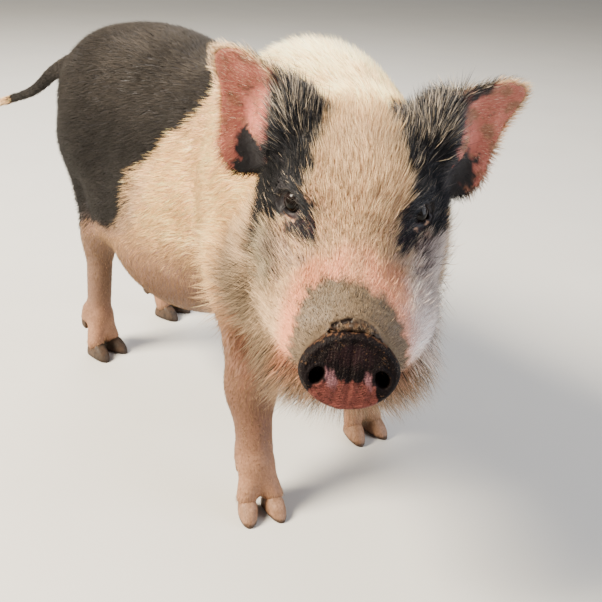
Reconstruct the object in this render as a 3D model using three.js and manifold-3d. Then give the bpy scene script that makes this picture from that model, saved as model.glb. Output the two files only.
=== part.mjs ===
// A standing mini pig, life size, as a still museum model. Millimetres, +Z up.
// The trunk faces -Y at its middle and bends to the pig's right, and the head turns further that way.
// The flesh is one closed surface, found where a distance function is zero. Balls and limbs are melted
// together in that function, and thin cuts part the surface into head, neck, trunk, legs, ears and tail.
import * as THREE from "three";
import { LoftGeometry } from "three/addons/geometries/LoftGeometry.js";
import { mergeVertices } from "three/addons/utils/BufferGeometryUtils.js";
import Module from "manifold-3d";

const wasm = await Module();
wasm.setup();

// ---- Driving dimensions ----
const SPINE_LENGTH = 333; // from between the hips to between the shoulders
const SPINE_BEND = THREE.MathUtils.degToRad(33.7); // how far the trunk turns to the right over that length
const HEAD_YAW = THREE.MathUtils.degToRad(42.4); // the head's heading, from -Y towards the pig's right
const HEAD_PITCH = THREE.MathUtils.degToRad(17.8); // the snout dips
const HEAD_ROLL = THREE.MathUtils.degToRad(2.8);
const CUT = 0.5; // width of the thin cuts that part the body
const GAP = 0.4; // clearance between flesh and what is set into it
const WELD = 0.05; // edges shorter than about this, left by the cuts, are closed up
const SWELL = 0.8; // corners stand this far out, so that the faces between them average the true surface
const SOLE = 12; // the flesh of a foot stops at this height, and the claws reach the floor
const MOUTH = { front: [-112, -82], corner: [-22, -64] }; // ends of the mouth line, in the head's frame
const DISC = { width: 35.5, height: 29, thickness: 14, dome: 2.5, rim: 7 }; // the snout's half axes
const EYE = { radius: 11.5, across: 45, back: 6, up: -1 };

// ---- Frames: +X to the pig's left, -Y forward, +Z up ----
const RADIUS_OF_BEND = SPINE_LENGTH / SPINE_BEND;
const HIPS = 0;
const SHOULDERS = SPINE_LENGTH;

function frame(x, y, z, heading = 0, pitch = 0, roll = 0) {
  const turned = new THREE.Matrix4().makeRotationZ(-heading);
  turned.multiply(new THREE.Matrix4().makeRotationX(pitch));
  turned.multiply(new THREE.Matrix4().makeRotationY(roll));
  return turned.setPosition(x, y, z);
}

// The floor frame under the spine, a distance forward of the hips, on an arc in plan.
function spineFrame(distance) {
  const heading = (distance / SPINE_LENGTH - 0.5) * SPINE_BEND;
  const x = -RADIUS_OF_BEND * (1 - Math.cos(heading));
  const y = -RADIUS_OF_BEND * Math.sin(heading);
  return frame(x, y, 0, heading);
}

const hips = spineFrame(HIPS);
const shoulders = spineFrame(SHOULDERS);
const EYES_MIDDLE = [-118, -312, 335];
const head = frame(...EYES_MIDDLE, HEAD_YAW, HEAD_PITCH, HEAD_ROLL);
const discFrame = head.clone().multiply(frame(0, -118, -51, 0, -0.42));
const world = new THREE.Matrix4();
const at = (where, x, y, z) => new THREE.Vector3(x, y, z).applyMatrix4(where);

// ---- Distance functions, negative inside ----
const melt = (a, b, softness) => {
  const near = Math.max(softness - Math.abs(a - b), 0) / softness;
  return Math.min(a, b) - (near * near * softness) / 4;
};
const carve = (a, b, softness) => -melt(-a, b, softness);

function ball(where, centre, radii, tilt = 0, softness = 30) {
  const place = where.clone().multiply(frame(...centre, 0, tilt));
  const inverse = place.invert();
  const [rx, ry, rz] = radii;
  const p = new THREE.Vector3();
  const distance = (x, y, z) => {
    p.set(x, y, z).applyMatrix4(inverse);
    const outer = Math.hypot(p.x / rx, p.y / ry, p.z / rz);
    const inner = Math.hypot(p.x / rx / rx, p.y / ry / ry, p.z / rz / rz);
    return inner < 1e-9 ? -Math.min(rx, ry, rz) : (outer * (outer - 1)) / inner;
  };
  return { distance, softness };
}

// A tapered limb between two points, with a round end of its own radius at each.
function limb(a, b, radiusA, radiusB, softness = 20) {
  const along = b.clone().sub(a);
  const length = along.length();
  along.normalize();
  const slope = (radiusA - radiusB) / length;
  const lean = Math.sqrt(Math.max(1 - slope * slope, 0));
  const p = new THREE.Vector3();
  const distance = (x, y, z) => {
    p.set(x - a.x, y - a.y, z - a.z);
    const t = p.dot(along);
    const out = Math.sqrt(Math.max(p.lengthSq() - t * t, 0));
    const shifted = t * lean - out * slope;
    if (shifted < 0) return p.length() - radiusA;
    if (shifted > length * lean) return Math.hypot(out, t - length) - radiusB;
    return out * lean + t * slope - radiusA;
  };
  return { distance, softness };
}

// A chain of tapered limbs through named joints, each [point, radius].
function chain(joints, softness) {
  return joints.slice(1).map(([point, radius], i) => {
    const [start, startRadius] = joints[i];
    return limb(start, point, startRadius, radius, softness);
  });
}

const blended = (pieces) => (x, y, z) =>
  pieces.reduce((sum, piece) => melt(sum, piece.distance(x, y, z), piece.softness), 1e3);

// ---- Flesh ----
// Masses of the trunk: distance forward of the hips, across, height, half sizes [across, along, up], lean.
const TRUNK = {
  chest: [SHOULDERS - 30, 0, 290, [88, 112, 108]],
  withers: [SHOULDERS - 5, 0, 344, [54, 90, 74]],
  ribs: [200, 0, 270, [104, 125, 120]],
  belly: [150, 0, 232, [108, 122, 132]],
  flanks: [98, 0, 208, [103, 104, 117]],
  loin: [75, 0, 297, [94, 108, 109]],
  rump: [10, 0, 313, [84, 90, 92]],
  tail_head: [-28, 0, 315, [56, 52, 66]],
  brisket: [SHOULDERS + 25, 0, 238, [54, 60, 52], -0.3],
  shoulder_right: [SHOULDERS, -62, 262, [46, 58, 84]],
  shoulder_left: [SHOULDERS, 62, 262, [46, 58, 84]],
};
const trunkFlesh = Object.values(TRUNK).map(([distance, x, z, radii, lean = 0]) =>
  ball(spineFrame(distance), [x, 0, z], radii, lean, 40),
);

// The neck's crest, its throat, and the roll of skin that its turn squeezes up on the right.
const neckFlesh = [
  limb(at(shoulders, 0, 5, 325), at(head, 0, 84, -8), 88, 60, 45),
  limb(at(shoulders, 0, -10, 262), at(head, 0, 66, -52), 74, 58, 40),
  ball(head, [-56, 46, -97], [44, 50, 54], 0, 24),
];

// Masses of the head in its own frame: centre, half sizes, lean, softness. Those at the sides are mirrored.
const HEAD_MIDDLE = {
  poll: [[0, 42, 4], [58, 60, 50], 0, 25],
  forehead: [[0, 10, -2], [47, 44, 38], 0.3, 22],
};
const HEAD_SIDES = {
  lip: [[22, -68, -56], [32, 44, 32], 0, 16],
  cheek: [[36, -30, -66], [34, 50, 37], 0, 20],
  temple: [[42, 32, -34], [34, 50, 46], 0, 22],
  jowl: [[40, 36, -74], [38, 50, 40], 0, 24],
  under_eye: [[34, -12, -37], [28, 38, 24], 0.4, 16],
  brow: [[38, 4, 14], [17, 20, 12], 0, 12],
  chin: [[26, -56, -86], [31, 40, 27], 0, 16],
  ear_root: [[56, 60, 30], [30, 24, 34], 0, 16],
};
const mirrored = ([x, y, z], side) => [x * side, y, z];
const headFlesh = [
  ...Object.values(HEAD_MIDDLE).map((mass) => ball(head, ...mass)),
  limb(at(head, 0, -2, -22), at(head, 0, -90, -49), 38, 31, 18), // bridge of the nose
  limb(at(head, 0, 20, -78), at(head, 0, -90, -78), 34, 16, 20), // floor of the jaw
  ...[-1, 1].flatMap((side) =>
    Object.values(HEAD_SIDES).map(([centre, ...rest]) => ball(head, mirrored(centre, side), ...rest)),
  ),
];

// Legs: joints from the top of the limb to the fetlock, each with its radius.
const LEG_SOFT = 22;
const forelegs = {
  right: [
    [at(shoulders, -62, -8, 258), 44],
    [at(shoulders, -70, 4, 206), 31],
    [at(shoulders, -77, -36, 114), 21.5],
    [at(shoulders, -82, -64, 50), 18],
  ],
  left: [
    [at(shoulders, 62, -4, 258), 44],
    [at(shoulders, 68, 20, 206), 31],
    [at(shoulders, 69, 18, 114), 21],
    [at(shoulders, 72, 21, 50), 18],
  ],
};
const hindlegs = {
  right: [
    [at(hips, -46, -6, 290), 56],
    [at(hips, -56, -44, 218), 40],
    [at(hips, -44, 22, 150), 17.5],
    [at(hips, -51, 23, 52), 15.5],
  ],
  left: [
    [at(hips, 46, -4, 290), 56],
    [at(hips, 62, -36, 218), 40],
    [at(hips, 70, 36, 150), 17.5],
    [at(hips, 78, 33, 52), 15.5],
  ],
};
// Each foot: its frame on the floor, between the claws.
const feet = {
  fore_right: shoulders.clone().multiply(frame(-83, -78, 0, 0.1)),
  fore_left: shoulders.clone().multiply(frame(75, 10, 0, -0.1)),
  hind_right: hips.clone().multiply(frame(-57, 15, 0, 0.08)),
  hind_left: hips.clone().multiply(frame(82, 23, 0, -0.08)),
};

const TOE = { spread: 13, splay: 0.15 };
const DEWCLAW = { spread: 12, back: 14, height: 40 };
function footFlesh(foot, fetlock) {
  const middle = fetlock.clone().setZ(0).applyMatrix4(foot.clone().invert());
  const pieces = [];
  for (const side of [-1, 1]) {
    const toe = at(foot, TOE.spread * side, -2, 19);
    const root = at(foot, middle.x + 9 * side, middle.y + 9, 58);
    const dewclaw = at(foot, middle.x + DEWCLAW.spread * side, middle.y + DEWCLAW.back - 1, 46);
    pieces.push(limb(fetlock.clone().lerp(toe, 0.15), toe, 14, 10.5, 10));
    pieces.push(limb(root, dewclaw, 9, 6.5, 8));
  }
  return pieces;
}

function legFlesh(legs, kind) {
  return Object.entries(legs).flatMap(([side, joints]) => [
    ...chain(joints, LEG_SOFT),
    ...footFlesh(feet[`${kind}_${side}`], joints.at(-1)[0]),
  ]);
}

// The back of each thigh, from the buttock down to the hock.
const thighs = [-1, 1].map((side) =>
  limb(at(hips, 40 * side, 22, 268), at(hips, 48 * side, 26, 178), 40, 17, 24),
);

const tailJoints = [
  [at(hips, 0, 80, 352), 15],
  [at(hips, 4, 130, 332), 9],
  [at(hips, 8, 180, 300), 6.5],
  [at(hips, 10, 262, 270), 4],
];

// ---- Ears: a cupped plate in a frame of its own, +X out along the ear, -Y its open face, +Z up ----
const EAR = { thickness: 8, cup: 9, root: 13 };
const earFrames = {
  right: head.clone().multiply(frame(-64, 60, 34, 0.1, 0, -0.04)),
  left: head.clone().multiply(frame(64, 60, 34, -0.1, 0, 0.22)),
};
const flat = (x, z) => new THREE.Vector3(x, 0, z);
const earOutline = blended([
  limb(flat(-2, 8), flat(33, 37), 27, 17, 8),
  limb(flat(33, 37), flat(43, 45), 16, 9, 8),
  limb(flat(33, 37), flat(30, -22), 16, 18, 8),
  limb(flat(0, 0), flat(25, -29), 22, 20, 8),
]);

function ear(side, where) {
  const inverse = where.clone().invert();
  const p = new THREE.Vector3();
  const distance = (x, y, z) => {
    p.set(x, y, z).applyMatrix4(inverse);
    p.x *= side;
    const rim = earOutline(p.x, 0, p.z);
    const cup = EAR.cup * Math.max(1 - (p.z - 0.6 * p.x) ** 2 / 50 ** 2, -1);
    const half = EAR.thickness / 2 + EAR.root * Math.exp(-Math.max(p.x + 6, 0) / 9);
    const off = Math.abs(p.y - cup) - half;
    const outside = Math.hypot(Math.max(rim + half, 0), Math.max(off + half, 0)) - half;
    return outside + Math.min(Math.max(rim + half, off + half), 0);
  };
  return { distance, softness: 12 };
}

const fleshPieces = [
  ...trunkFlesh,
  ...neckFlesh,
  ...headFlesh,
  ...legFlesh(forelegs, "fore"),
  ...legFlesh(hindlegs, "hind"),
  ...thighs,
  ...chain(tailJoints, 14),
  ear(-1, earFrames.right),
  ear(1, earFrames.left),
];
// The eyes lie at the bottom of shallow bowls.
const sockets = [-1, 1].map((side) => ball(head, [58 * side, -12, 3], [13, 13, 12], 0, 14));
const filled = blended(fleshPieces);
const flesh = (x, y, z) =>
  sockets.reduce((sum, socket) => carve(sum, socket.distance(x, y, z), socket.softness), filled(x, y, z));

// ---- A closed surface where a distance function crosses zero ----
function wrap(distance, where, low, high, cell) {
  const count = [0, 1, 2].map((i) => Math.ceil((high[i] - low[i]) / cell[i]) + 1);
  const [nx, ny, nz] = count;
  const index = (i, j, k) => i + nx * (j + ny * k);
  const values = new Float64Array(nx * ny * nz);
  const p = new THREE.Vector3();
  const corner = (i, j, k) => p.set(low[0] + i * cell[0], low[1] + j * cell[1], low[2] + k * cell[2]);
  for (let k = 0; k < nz; k++)
    for (let j = 0; j < ny; j++)
      for (let i = 0; i < nx; i++) {
        corner(i, j, k).applyMatrix4(where);
        const edge = i === 0 || j === 0 || k === 0 || i === nx - 1 || j === ny - 1 || k === nz - 1;
        const found = distance(p.x, p.y, p.z);
        values[index(i, j, k)] = edge ? Math.max(found, 0.1) : found;
      }
  // One vertex in each cell that the surface passes through, at the middle of its crossings.
  const vertexOf = new Map();
  const points = [];
  const corners = [0, 1, 2, 3, 4, 5, 6, 7].map((c) => [c & 1, (c >> 1) & 1, c >> 2]);
  const edges = [];
  for (let a = 0; a < 8; a++) for (const bit of [1, 2, 4]) if (!(a & bit)) edges.push([a, a | bit]);
  for (let k = 0; k < nz - 1; k++)
    for (let j = 0; j < ny - 1; j++)
      for (let i = 0; i < nx - 1; i++) {
        const found = corners.map(([a, b, c]) => values[index(i + a, j + b, k + c)]);
        const sum = [0, 0, 0];
        let crossings = 0;
        for (const [a, b] of edges) {
          if (found[a] < 0 === found[b] < 0) continue;
          const t = found[a] / (found[a] - found[b]);
          for (let axis = 0; axis < 3; axis++)
            sum[axis] += corners[a][axis] + t * (corners[b][axis] - corners[a][axis]);
          crossings++;
        }
        if (!crossings) continue;
        const inner = i > 0 && j > 0 && k > 0 && i < nx - 2 && j < ny - 2 && k < nz - 2;
        corner(i + sum[0] / crossings, j + sum[1] / crossings, k + sum[2] / crossings);
        const point = p.clone().applyMatrix4(where);
        vertexOf.set(index(i, j, k), points.length);
        points.push(inner ? settle(point, distance) : point);
      }
  // A quad round each grid edge that the surface crosses, split along its shorter diagonal.
  const triangles = [];
  const steps = [index(1, 0, 0), index(0, 1, 0), index(0, 0, 1)];
  for (const axis of [0, 1, 2]) {
    const [u, v] = [steps[(axis + 1) % 3], steps[(axis + 2) % 3]];
    for (let n = 0; n < values.length - steps[axis]; n++) {
      const inside = values[n] < 0;
      if (inside === values[n + steps[axis]] < 0) continue;
      const ring = [n, n - u, n - u - v, n - v].map((cellIndex) => vertexOf.get(cellIndex));
      if (ring.includes(undefined)) continue;
      if (!inside) ring.reverse();
      const [a, b, c, d] = ring;
      const short = points[a].distanceTo(points[c]) < points[b].distanceTo(points[d]);
      triangles.push(...(short ? [a, b, c, a, c, d] : [a, b, d, b, c, d]));
    }
  }
  const geometry = new THREE.BufferGeometry().setFromPoints(points);
  geometry.setIndex(triangles);
  return geometry;
}

// Moves a point along the distance function's gradient to just outside the surface.
function settle(point, distance) {
  const h = 0.5;
  for (let step = 0; step < 3; step++) {
    const { x, y, z } = point;
    const here = distance(x, y, z) - SWELL;
    const slope = new THREE.Vector3(
      distance(x + h, y, z) - distance(x - h, y, z),
      distance(x, y + h, z) - distance(x, y - h, z),
      distance(x, y, z + h) - distance(x, y, z - h),
    ).divideScalar(2 * h);
    point.addScaledVector(slope, -here / Math.max(slope.lengthSq(), 0.25));
  }
  return point;
}

// ---- Cutting ----
const solid = (geometry) => {
  const bare = new THREE.BufferGeometry().setIndex(geometry.index);
  bare.setAttribute("position", geometry.attributes.position);
  const merged = mergeVertices(bare, 1e-4);
  return new wasm.Manifold(
    new wasm.Mesh({
      numProp: 3,
      vertProperties: new Float32Array(merged.attributes.position.array),
      triVerts: new Uint32Array(merged.index.array),
    }),
  );
};

function toGeometry(manifold) {
  const { numProp, vertProperties, triVerts } = manifold.getMesh();
  const points = [];
  for (let i = 0; i < vertProperties.length; i += numProp)
    points.push(new THREE.Vector3(...vertProperties.subarray(i, i + 3)));
  partTouching(points, triVerts);
  const geometry = new THREE.BufferGeometry().setFromPoints(points);
  geometry.setIndex(Array.from(triVerts));
  return geometry;
}

// Where two sheets of a piece touch, each sheet's copy of the shared vertex moves back into its own sheet.
function partTouching(points, triangles) {
  const place = (i) => points[i].toArray().map((value) => value.toFixed(2)).join();
  for (const shared of Map.groupBy(points.keys(), place).values()) {
    if (shared.length < 2) continue;
    for (const copy of shared) {
      const ring = new THREE.Vector3();
      for (let i = 0; i < triangles.length; i += 3) {
        const corners = triangles.subarray(i, i + 3);
        if (corners.includes(copy)) for (const other of corners) ring.add(points[other]).sub(points[copy]);
      }
      points[copy].addScaledVector(ring.normalize(), CUT / 8);
    }
  }
}

// A region is a list of planes, each a frame, a point in it and the direction that leads out of the region.
const FAR = 1600;
function region(planes, grow) {
  return planes
    .map(([where, point, out]) => {
      const direction = new THREE.Vector3(...out).transformDirection(where);
      const turn = new THREE.Quaternion().setFromUnitVectors(new THREE.Vector3(0, 0, 1), direction);
      const face = at(where, ...point).addScaledVector(direction, grow - FAR / 2);
      const block = new THREE.BoxGeometry(FAR, FAR, FAR).applyQuaternion(turn);
      return solid(block.translate(face.x, face.y, face.z));
    })
    .reduce((shared, block) => shared.intersect(block));
}

const legRegion = (where, side, { inner, outer, front, back }) => [
  [where, [inner[0] * side, 0, 0], [-side, 0, 0]],
  [where, [inner[0] * side, 0, inner[1]], [(inner[1] - outer[1]) * side, 0, outer[0] - inner[0]]],
  [where, [0, front[0], 0], [0, -1, front[1]]],
  [where, [0, back, 0], [0, 1, 0]],
  [world, [0, 0, SOLE], [0, 0, -1]],
];
const fore = { inner: [16, 186], outer: [130, 290], front: [-120, 0.3], back: 66 };
const hind = { inner: [12, 186], outer: [125, 320], front: [-74, 0], back: 120 };
const earRegion = (where, side) => [
  [where, [11 * side, 0, 0], [-side, 0, 0]],
  [where, [66 * side, 0, 0], [side, 0, 0]],
  [where, [0, 0, -52], [0, 0, -1]],
  [where, [0, 0, 72], [0, 0, 1]],
  [where, [0, 26, 0], [0, 1, 0]],
  [where, [0, -24, 0], [0, -1, 0]],
];

// In order of precedence: a later region gives way to the earlier ones.
const regions = {
  tail: [
    [hips.clone().multiply(frame(0, 97, 344, 0, -0.35)), [0, 0, 0], [0, -1, 0]],
    [world, [0, 0, 240], [0, 0, -1]],
  ],
  ear_right: earRegion(earFrames.right, -1),
  ear_left: earRegion(earFrames.left, 1),
  leg_front_right: legRegion(shoulders, -1, fore),
  leg_front_left: legRegion(shoulders, 1, fore),
  leg_hind_right: legRegion(hips, -1, hind),
  leg_hind_left: legRegion(hips, 1, hind),
  lower_jaw: [
    [head, [0, ...MOUTH.front], [0, MOUTH.front[1] - MOUTH.corner[1], MOUTH.corner[0] - MOUTH.front[0]]],
    [head, [0, MOUTH.corner[0], 0], [0, 1, 0]],
  ],
  head: [[head, [0, 84, -10], [0, 1, 0.1]]],
  neck: [[shoulders.clone().multiply(frame(0, -58, 300, 0.15, -0.3)), [0, 0, 0], [0, 1, 0]]],
  trunk: [[world, [0, 0, 40], [0, 0, -1]]],
};
// Where each piece is wrapped: a frame, the low and high corners in it, and the cell.
const grids = {
  tail: [hips, [-40, 80, 240], [60, 300, 378], [5.5, 17, 5.5]],
  ear_right: [earFrames.right, [-62, -22, -60], [2, 30, 66], [10.4, 4.4, 10.4]],
  ear_left: [earFrames.left, [-2, -22, -60], [62, 30, 66], [10.4, 4.4, 10.4]],
  leg_front_right: [shoulders, [-150, -128, 2], [-4, 80, 310], [15.5, 15.5, 20]],
  leg_front_left: [shoulders, [4, -128, 2], [150, 80, 310], [15.5, 15.5, 20]],
  leg_hind_right: [hips, [-150, -90, 2], [-2, 130, 340], [15.5, 16, 21]],
  leg_hind_left: [hips, [2, -90, 2], [150, 130, 340], [15.5, 16, 21]],
  lower_jaw: [head, [-90, -130, -135], [90, -8, -50], [15, 15, 11]],
  head: [head, [-125, -140, -160], [118, 108, 92], [16.4, 16.4, 16.4]],
  neck: [head, [-150, 50, -260], [150, 330, 90], [20, 20, 20]],
  trunk: [world, [-190, -290, 50], [190, 330, 450], [32, 32, 32]],
};

const pieces = {};
for (const [name, planes] of Object.entries(regions)) {
  const whole = solid(wrap(flesh, ...grids[name])).intersect(region(planes, -CUT / 2));
  const earlier = Object.keys(pieces);
  pieces[name] = earlier.reduce((piece, other) => piece.subtract(region(regions[other], CUT / 2)), whole);
}

// ---- Snout: a tilted oval disc with a rolled rim, a slightly domed face and two nostrils ----
const rolledRim = [0, 1, 2, 3, 4].map((i) => {
  const angle = Math.PI * (0.5 - i / 4);
  const inset = DISC.rim * (1 - Math.cos(angle));
  return new THREE.Vector2(1 - inset / DISC.width, (DISC.thickness / 2) * Math.sin(angle));
});
const discProfile = [
  new THREE.Vector2(0, DISC.thickness / 2),
  ...rolledRim,
  new THREE.Vector2(0.45, -DISC.thickness / 2 - 0.6 * DISC.dome),
  new THREE.Vector2(0, -DISC.thickness / 2 - DISC.dome),
];
const disc = new THREE.LatheGeometry(discProfile.reverse(), 22).scale(DISC.width, 1, DISC.height);
pieces.snout = solid(disc.applyMatrix4(discFrame));
const discSeat = region([[discFrame, [0, DISC.thickness / 2 + GAP, 0], [0, -1, 0]]], 0);

const nostrilShape = new THREE.SphereGeometry(1, 8, 6).scale(6.5, 10, 8);
for (const side of [-1, 1]) {
  const place = discFrame.clone().multiply(frame(19 * side, -5, -1, 0, 0.2));
  pieces.snout = pieces.snout.subtract(solid(nostrilShape.clone().applyMatrix4(place)));
}

// ---- Eyes ----
const ball3 = (radius, where) => new THREE.SphereGeometry(radius, 12, 7).applyMatrix4(where);
for (const [name, side] of [["eye_right", -1], ["eye_left", 1]]) {
  const place = head.clone().multiply(frame(EYE.across * side, EYE.back, EYE.up));
  pieces.head = pieces.head.subtract(solid(ball3(EYE.radius + GAP, place)));
  pieces[name] = solid(ball3(EYE.radius, place));
}

// ---- Claws: a domed horn shoe on a flat sole ----
function clawGeometry(sections, where, grow) {
  const rings = sections.map(([y, width, low, high]) => {
    const half = width / 2 + grow;
    const end = y + grow * Math.sign(y);
    const ring = [new THREE.Vector3(half, end, low - grow), new THREE.Vector3(-half, end, low - grow)];
    for (let i = 0; i <= 4; i++) {
      const angle = Math.PI * (1 - i / 4);
      const x = half * Math.cos(angle) * 0.92;
      const z = low + (high - low) * (0.35 + 0.65 * Math.sin(angle)) + grow;
      ring.push(new THREE.Vector3(x, end, z));
    }
    return ring.reverse();
  });
  const shoe = new LoftGeometry(rings, { capStart: true, capEnd: true });
  return shoe.applyMatrix4(where);
}
// Sections from the heel to the tip: [place along the claw, width, underside, top].
const clawSections = [
  [17, 12, 0, 10],
  [8, 18, 0, 19],
  [-4, 19, 0, 21],
  [-14, 15, 0, 13],
  [-20, 7, 0, 5],
];
const dewclawSections = [
  [7, 8, -9, 2],
  [0, 10, -7, 5],
  [-5, 8, -4, 5],
];
for (const [foot, where] of Object.entries(feet)) {
  const [kind, side] = foot.split("_");
  const leg = `leg_${kind === "fore" ? "front" : "hind"}_${side}`;
  const joints = (kind === "fore" ? forelegs : hindlegs)[side];
  const middle = joints.at(-1)[0].clone().setZ(0).applyMatrix4(where.clone().invert());
  for (const [toe, place] of [["outer", side === "left" ? 1 : -1], ["inner", side === "left" ? -1 : 1]]) {
    const main = where.clone().multiply(frame(TOE.spread * place, -6, 0, -TOE.splay * place));
    const upper = frame(middle.x + DEWCLAW.spread * place, middle.y + DEWCLAW.back, DEWCLAW.height, 0, -1.1);
    const dew = where.clone().multiply(upper);
    for (const [name, sections, spot] of [["claw", clawSections, main], ["dewclaw", dewclawSections, dew]]) {
      pieces[leg] = pieces[leg].subtract(solid(clawGeometry(sections, spot, GAP)));
      pieces[`${name}_${foot}_${toe}`] = solid(clawGeometry(sections, spot, 0));
    }
  }
}
pieces.head = pieces.head.intersect(discSeat);

// ---- The pig ----
const finish = (color, roughness) => new THREE.MeshStandardMaterial({ color, roughness, metalness: 0 });
const FINISHES = [
  [/^(tail|leg_hind)/, finish(0x57504d, 0.9)],
  [/^ear/, finish(0xc98f82, 0.8)],
  [/^eye/, finish(0x17110e, 0.12)],
  [/^snout/, finish(0x2d2627, 0.55)],
  [/claw_fore/, finish(0xa37c60, 0.6)],
  [/claw_hind/, finish(0x3f322b, 0.6)],
  [/./, finish(0xdcc8b2, 0.9)],
];
// A cut can leave a loose sliver beside the piece, which is dropped.
const largestBody = (piece) =>
  piece.decompose().reduce((largest, body) => (body.volume() > largest.volume() ? body : largest));

const group = new THREE.Group();
for (const [name, piece] of Object.entries(pieces)) {
  const [, material] = FINISHES.find(([pattern]) => pattern.test(name));
  const mesh = new THREE.Mesh(toGeometry(largestBody(piece).simplify(WELD)), material);
  mesh.name = name;
  group.add(mesh);
}
const box = new THREE.Box3().setFromObject(group);
const middle = box.getCenter(new THREE.Vector3());
group.position.set(-middle.x, -middle.y, -box.min.z);
export default group;
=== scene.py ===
# %% [markdown]
# # A standing mini pig
# A piebald mini pig stands with its trunk bent a little to its right and its head turned further that way.
# The packed model gives its outline out to the tips of the coat. This file makes what shows: one skin, which
# replaces all the pieces of flesh, the snout disc, eyes and claws, and a coat of solid tufts over the skin.

# %% Load the frame
import math

import bmesh
import bpy
import numpy as np
from mathutils import Matrix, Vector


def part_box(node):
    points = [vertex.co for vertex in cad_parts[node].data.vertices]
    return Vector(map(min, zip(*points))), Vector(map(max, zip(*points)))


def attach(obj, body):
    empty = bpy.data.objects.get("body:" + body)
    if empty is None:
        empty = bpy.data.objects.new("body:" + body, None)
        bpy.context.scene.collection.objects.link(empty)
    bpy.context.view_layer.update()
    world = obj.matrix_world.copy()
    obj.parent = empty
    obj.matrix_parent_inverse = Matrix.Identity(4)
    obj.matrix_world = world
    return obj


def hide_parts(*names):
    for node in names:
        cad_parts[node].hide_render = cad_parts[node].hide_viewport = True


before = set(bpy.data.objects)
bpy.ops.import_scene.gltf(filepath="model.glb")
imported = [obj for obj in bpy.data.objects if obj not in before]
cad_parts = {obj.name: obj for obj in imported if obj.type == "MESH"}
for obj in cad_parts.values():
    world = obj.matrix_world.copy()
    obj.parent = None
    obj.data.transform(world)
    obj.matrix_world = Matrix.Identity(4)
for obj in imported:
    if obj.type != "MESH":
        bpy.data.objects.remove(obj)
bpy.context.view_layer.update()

MM = 0.001
random = np.random.default_rng(7)

# %% [markdown]
# ## Places on the body
# A pig is described by a few turning frames: one along the spine, one for the head and one for each ear. In
# each, +X is the pig's left, -Y is forward and +Z is up. Empties could hold them, but small matrices in numpy
# carry whole arrays of points. All sizes are millimetres in the pig's own frame, and one shift at the end
# moves them onto the packed model.

# %% Frames along the spine and in the head
SPINE_LENGTH = 333
SPINE_BEND = math.radians(33.7)
EYES_MIDDLE = (-118, -312, 335)
HEAD_TURN = (math.radians(42.4), math.radians(17.8), math.radians(2.8))
EYE = {"radius": 11.5, "across": 45, "back": 6, "up": -1}
DISC_PLACE = (0, -118, -51)
DISC_LEAN = -0.42


def frame_at(x, y, z, heading=0, pitch=0, roll=0):
    """A 4x4 frame at a point: roll about Y, then pitch about X, then a turn by heading to the pig's right."""
    c, s = math.cos(heading), math.sin(heading)
    turn = np.array([[c, s, 0], [-s, c, 0], [0, 0, 1]])
    c, s = math.cos(pitch), math.sin(pitch)
    dip = np.array([[1, 0, 0], [0, c, -s], [0, s, c]])
    c, s = math.cos(roll), math.sin(roll)
    bank = np.array([[c, 0, s], [0, 1, 0], [-s, 0, c]])
    place = np.eye(4)
    place[:3, :3] = turn @ dip @ bank
    place[:3, 3] = (x, y, z)
    return place


def spine_frame(distance):
    """The floor frame under the spine, a distance forward of the hips, on an arc in plan."""
    radius = SPINE_LENGTH / SPINE_BEND
    heading = (distance / SPINE_LENGTH - 0.5) * SPINE_BEND
    return frame_at(-radius * (1 - math.cos(heading)), -radius * math.sin(heading), 0, heading)


def at(where, x, y, z):
    """A point of a frame, in the pig's own frame."""
    return where[:3, :3] @ np.array([x, y, z], float) + where[:3, 3]


def place_in(where, points):
    """Many points of a frame, in the pig's own frame."""
    return points @ where[:3, :3].T + where[:3, 3]


def local(where, points):
    """Points of the pig's frame, seen in another frame."""
    return (points - where[:3, 3]) @ where[:3, :3]


hips = spine_frame(0)
shoulders = spine_frame(SPINE_LENGTH)
head = frame_at(*EYES_MIDDLE, *HEAD_TURN)
disc_frame = head @ frame_at(*DISC_PLACE, 0, DISC_LEAN)
eye_places = {
    side: at(head, EYE["across"] * side, EYE["back"], EYE["up"]) for side in (-1, 1)
}
low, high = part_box("eye_left")
SHIFT = (np.array(low) + np.array(high)) / 2 / MM - eye_places[1]
SHIFT[2] = 0
print("the pig's frame lies at", SHIFT.round(2), "mm in the packed model")

# %% [markdown]
# ## Camera and light
# The camera stands in front of the pig on its right, a little above it, and looks down. Its place is given in
# the pig's frame. Hard lamps would draw sharp shadows of each hair, so three big soft lamps and a pale sky
# light it.

# %% Camera and lamps
CAMERA_PLACE = np.array([-581.0, -768.1, 555.0])
LOOK = np.array([0.669, 0.743])
LOOK_DOWN = math.radians(24.7)
CAMERA_ROLL = math.radians(2.5)
LENS, SENSOR = 53.9, 36.0


def camera_axes():
    """Columns: right, up and back, from the heading and the dip, then rolled about the line of sight."""
    along = np.append(LOOK / np.linalg.norm(LOOK), 0)
    right = np.array([along[1], -along[0], 0])
    up = along * math.sin(LOOK_DOWN) + np.array([0, 0, math.cos(LOOK_DOWN)])
    back = -along * math.cos(LOOK_DOWN) + np.array([0, 0, math.sin(LOOK_DOWN)])
    c, s = math.cos(CAMERA_ROLL), math.sin(CAMERA_ROLL)
    return np.stack([right * c + up * s, up * c - right * s, back], axis=1)


camera_data = bpy.data.cameras.new("camera")
camera_data.lens = LENS
camera_data.sensor_width = SENSOR
camera = bpy.data.objects.new("camera", camera_data)
bpy.context.collection.objects.link(camera)
matrix = np.eye(4)
matrix[:3, :3] = camera_axes()
matrix[:3, 3] = (CAMERA_PLACE + SHIFT) * MM
camera.matrix_world = Matrix(matrix)
bpy.context.scene.camera = camera
print("camera to the eyes' middle:", round(np.linalg.norm(CAMERA_PLACE - EYES_MIDDLE)), "mm")


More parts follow.
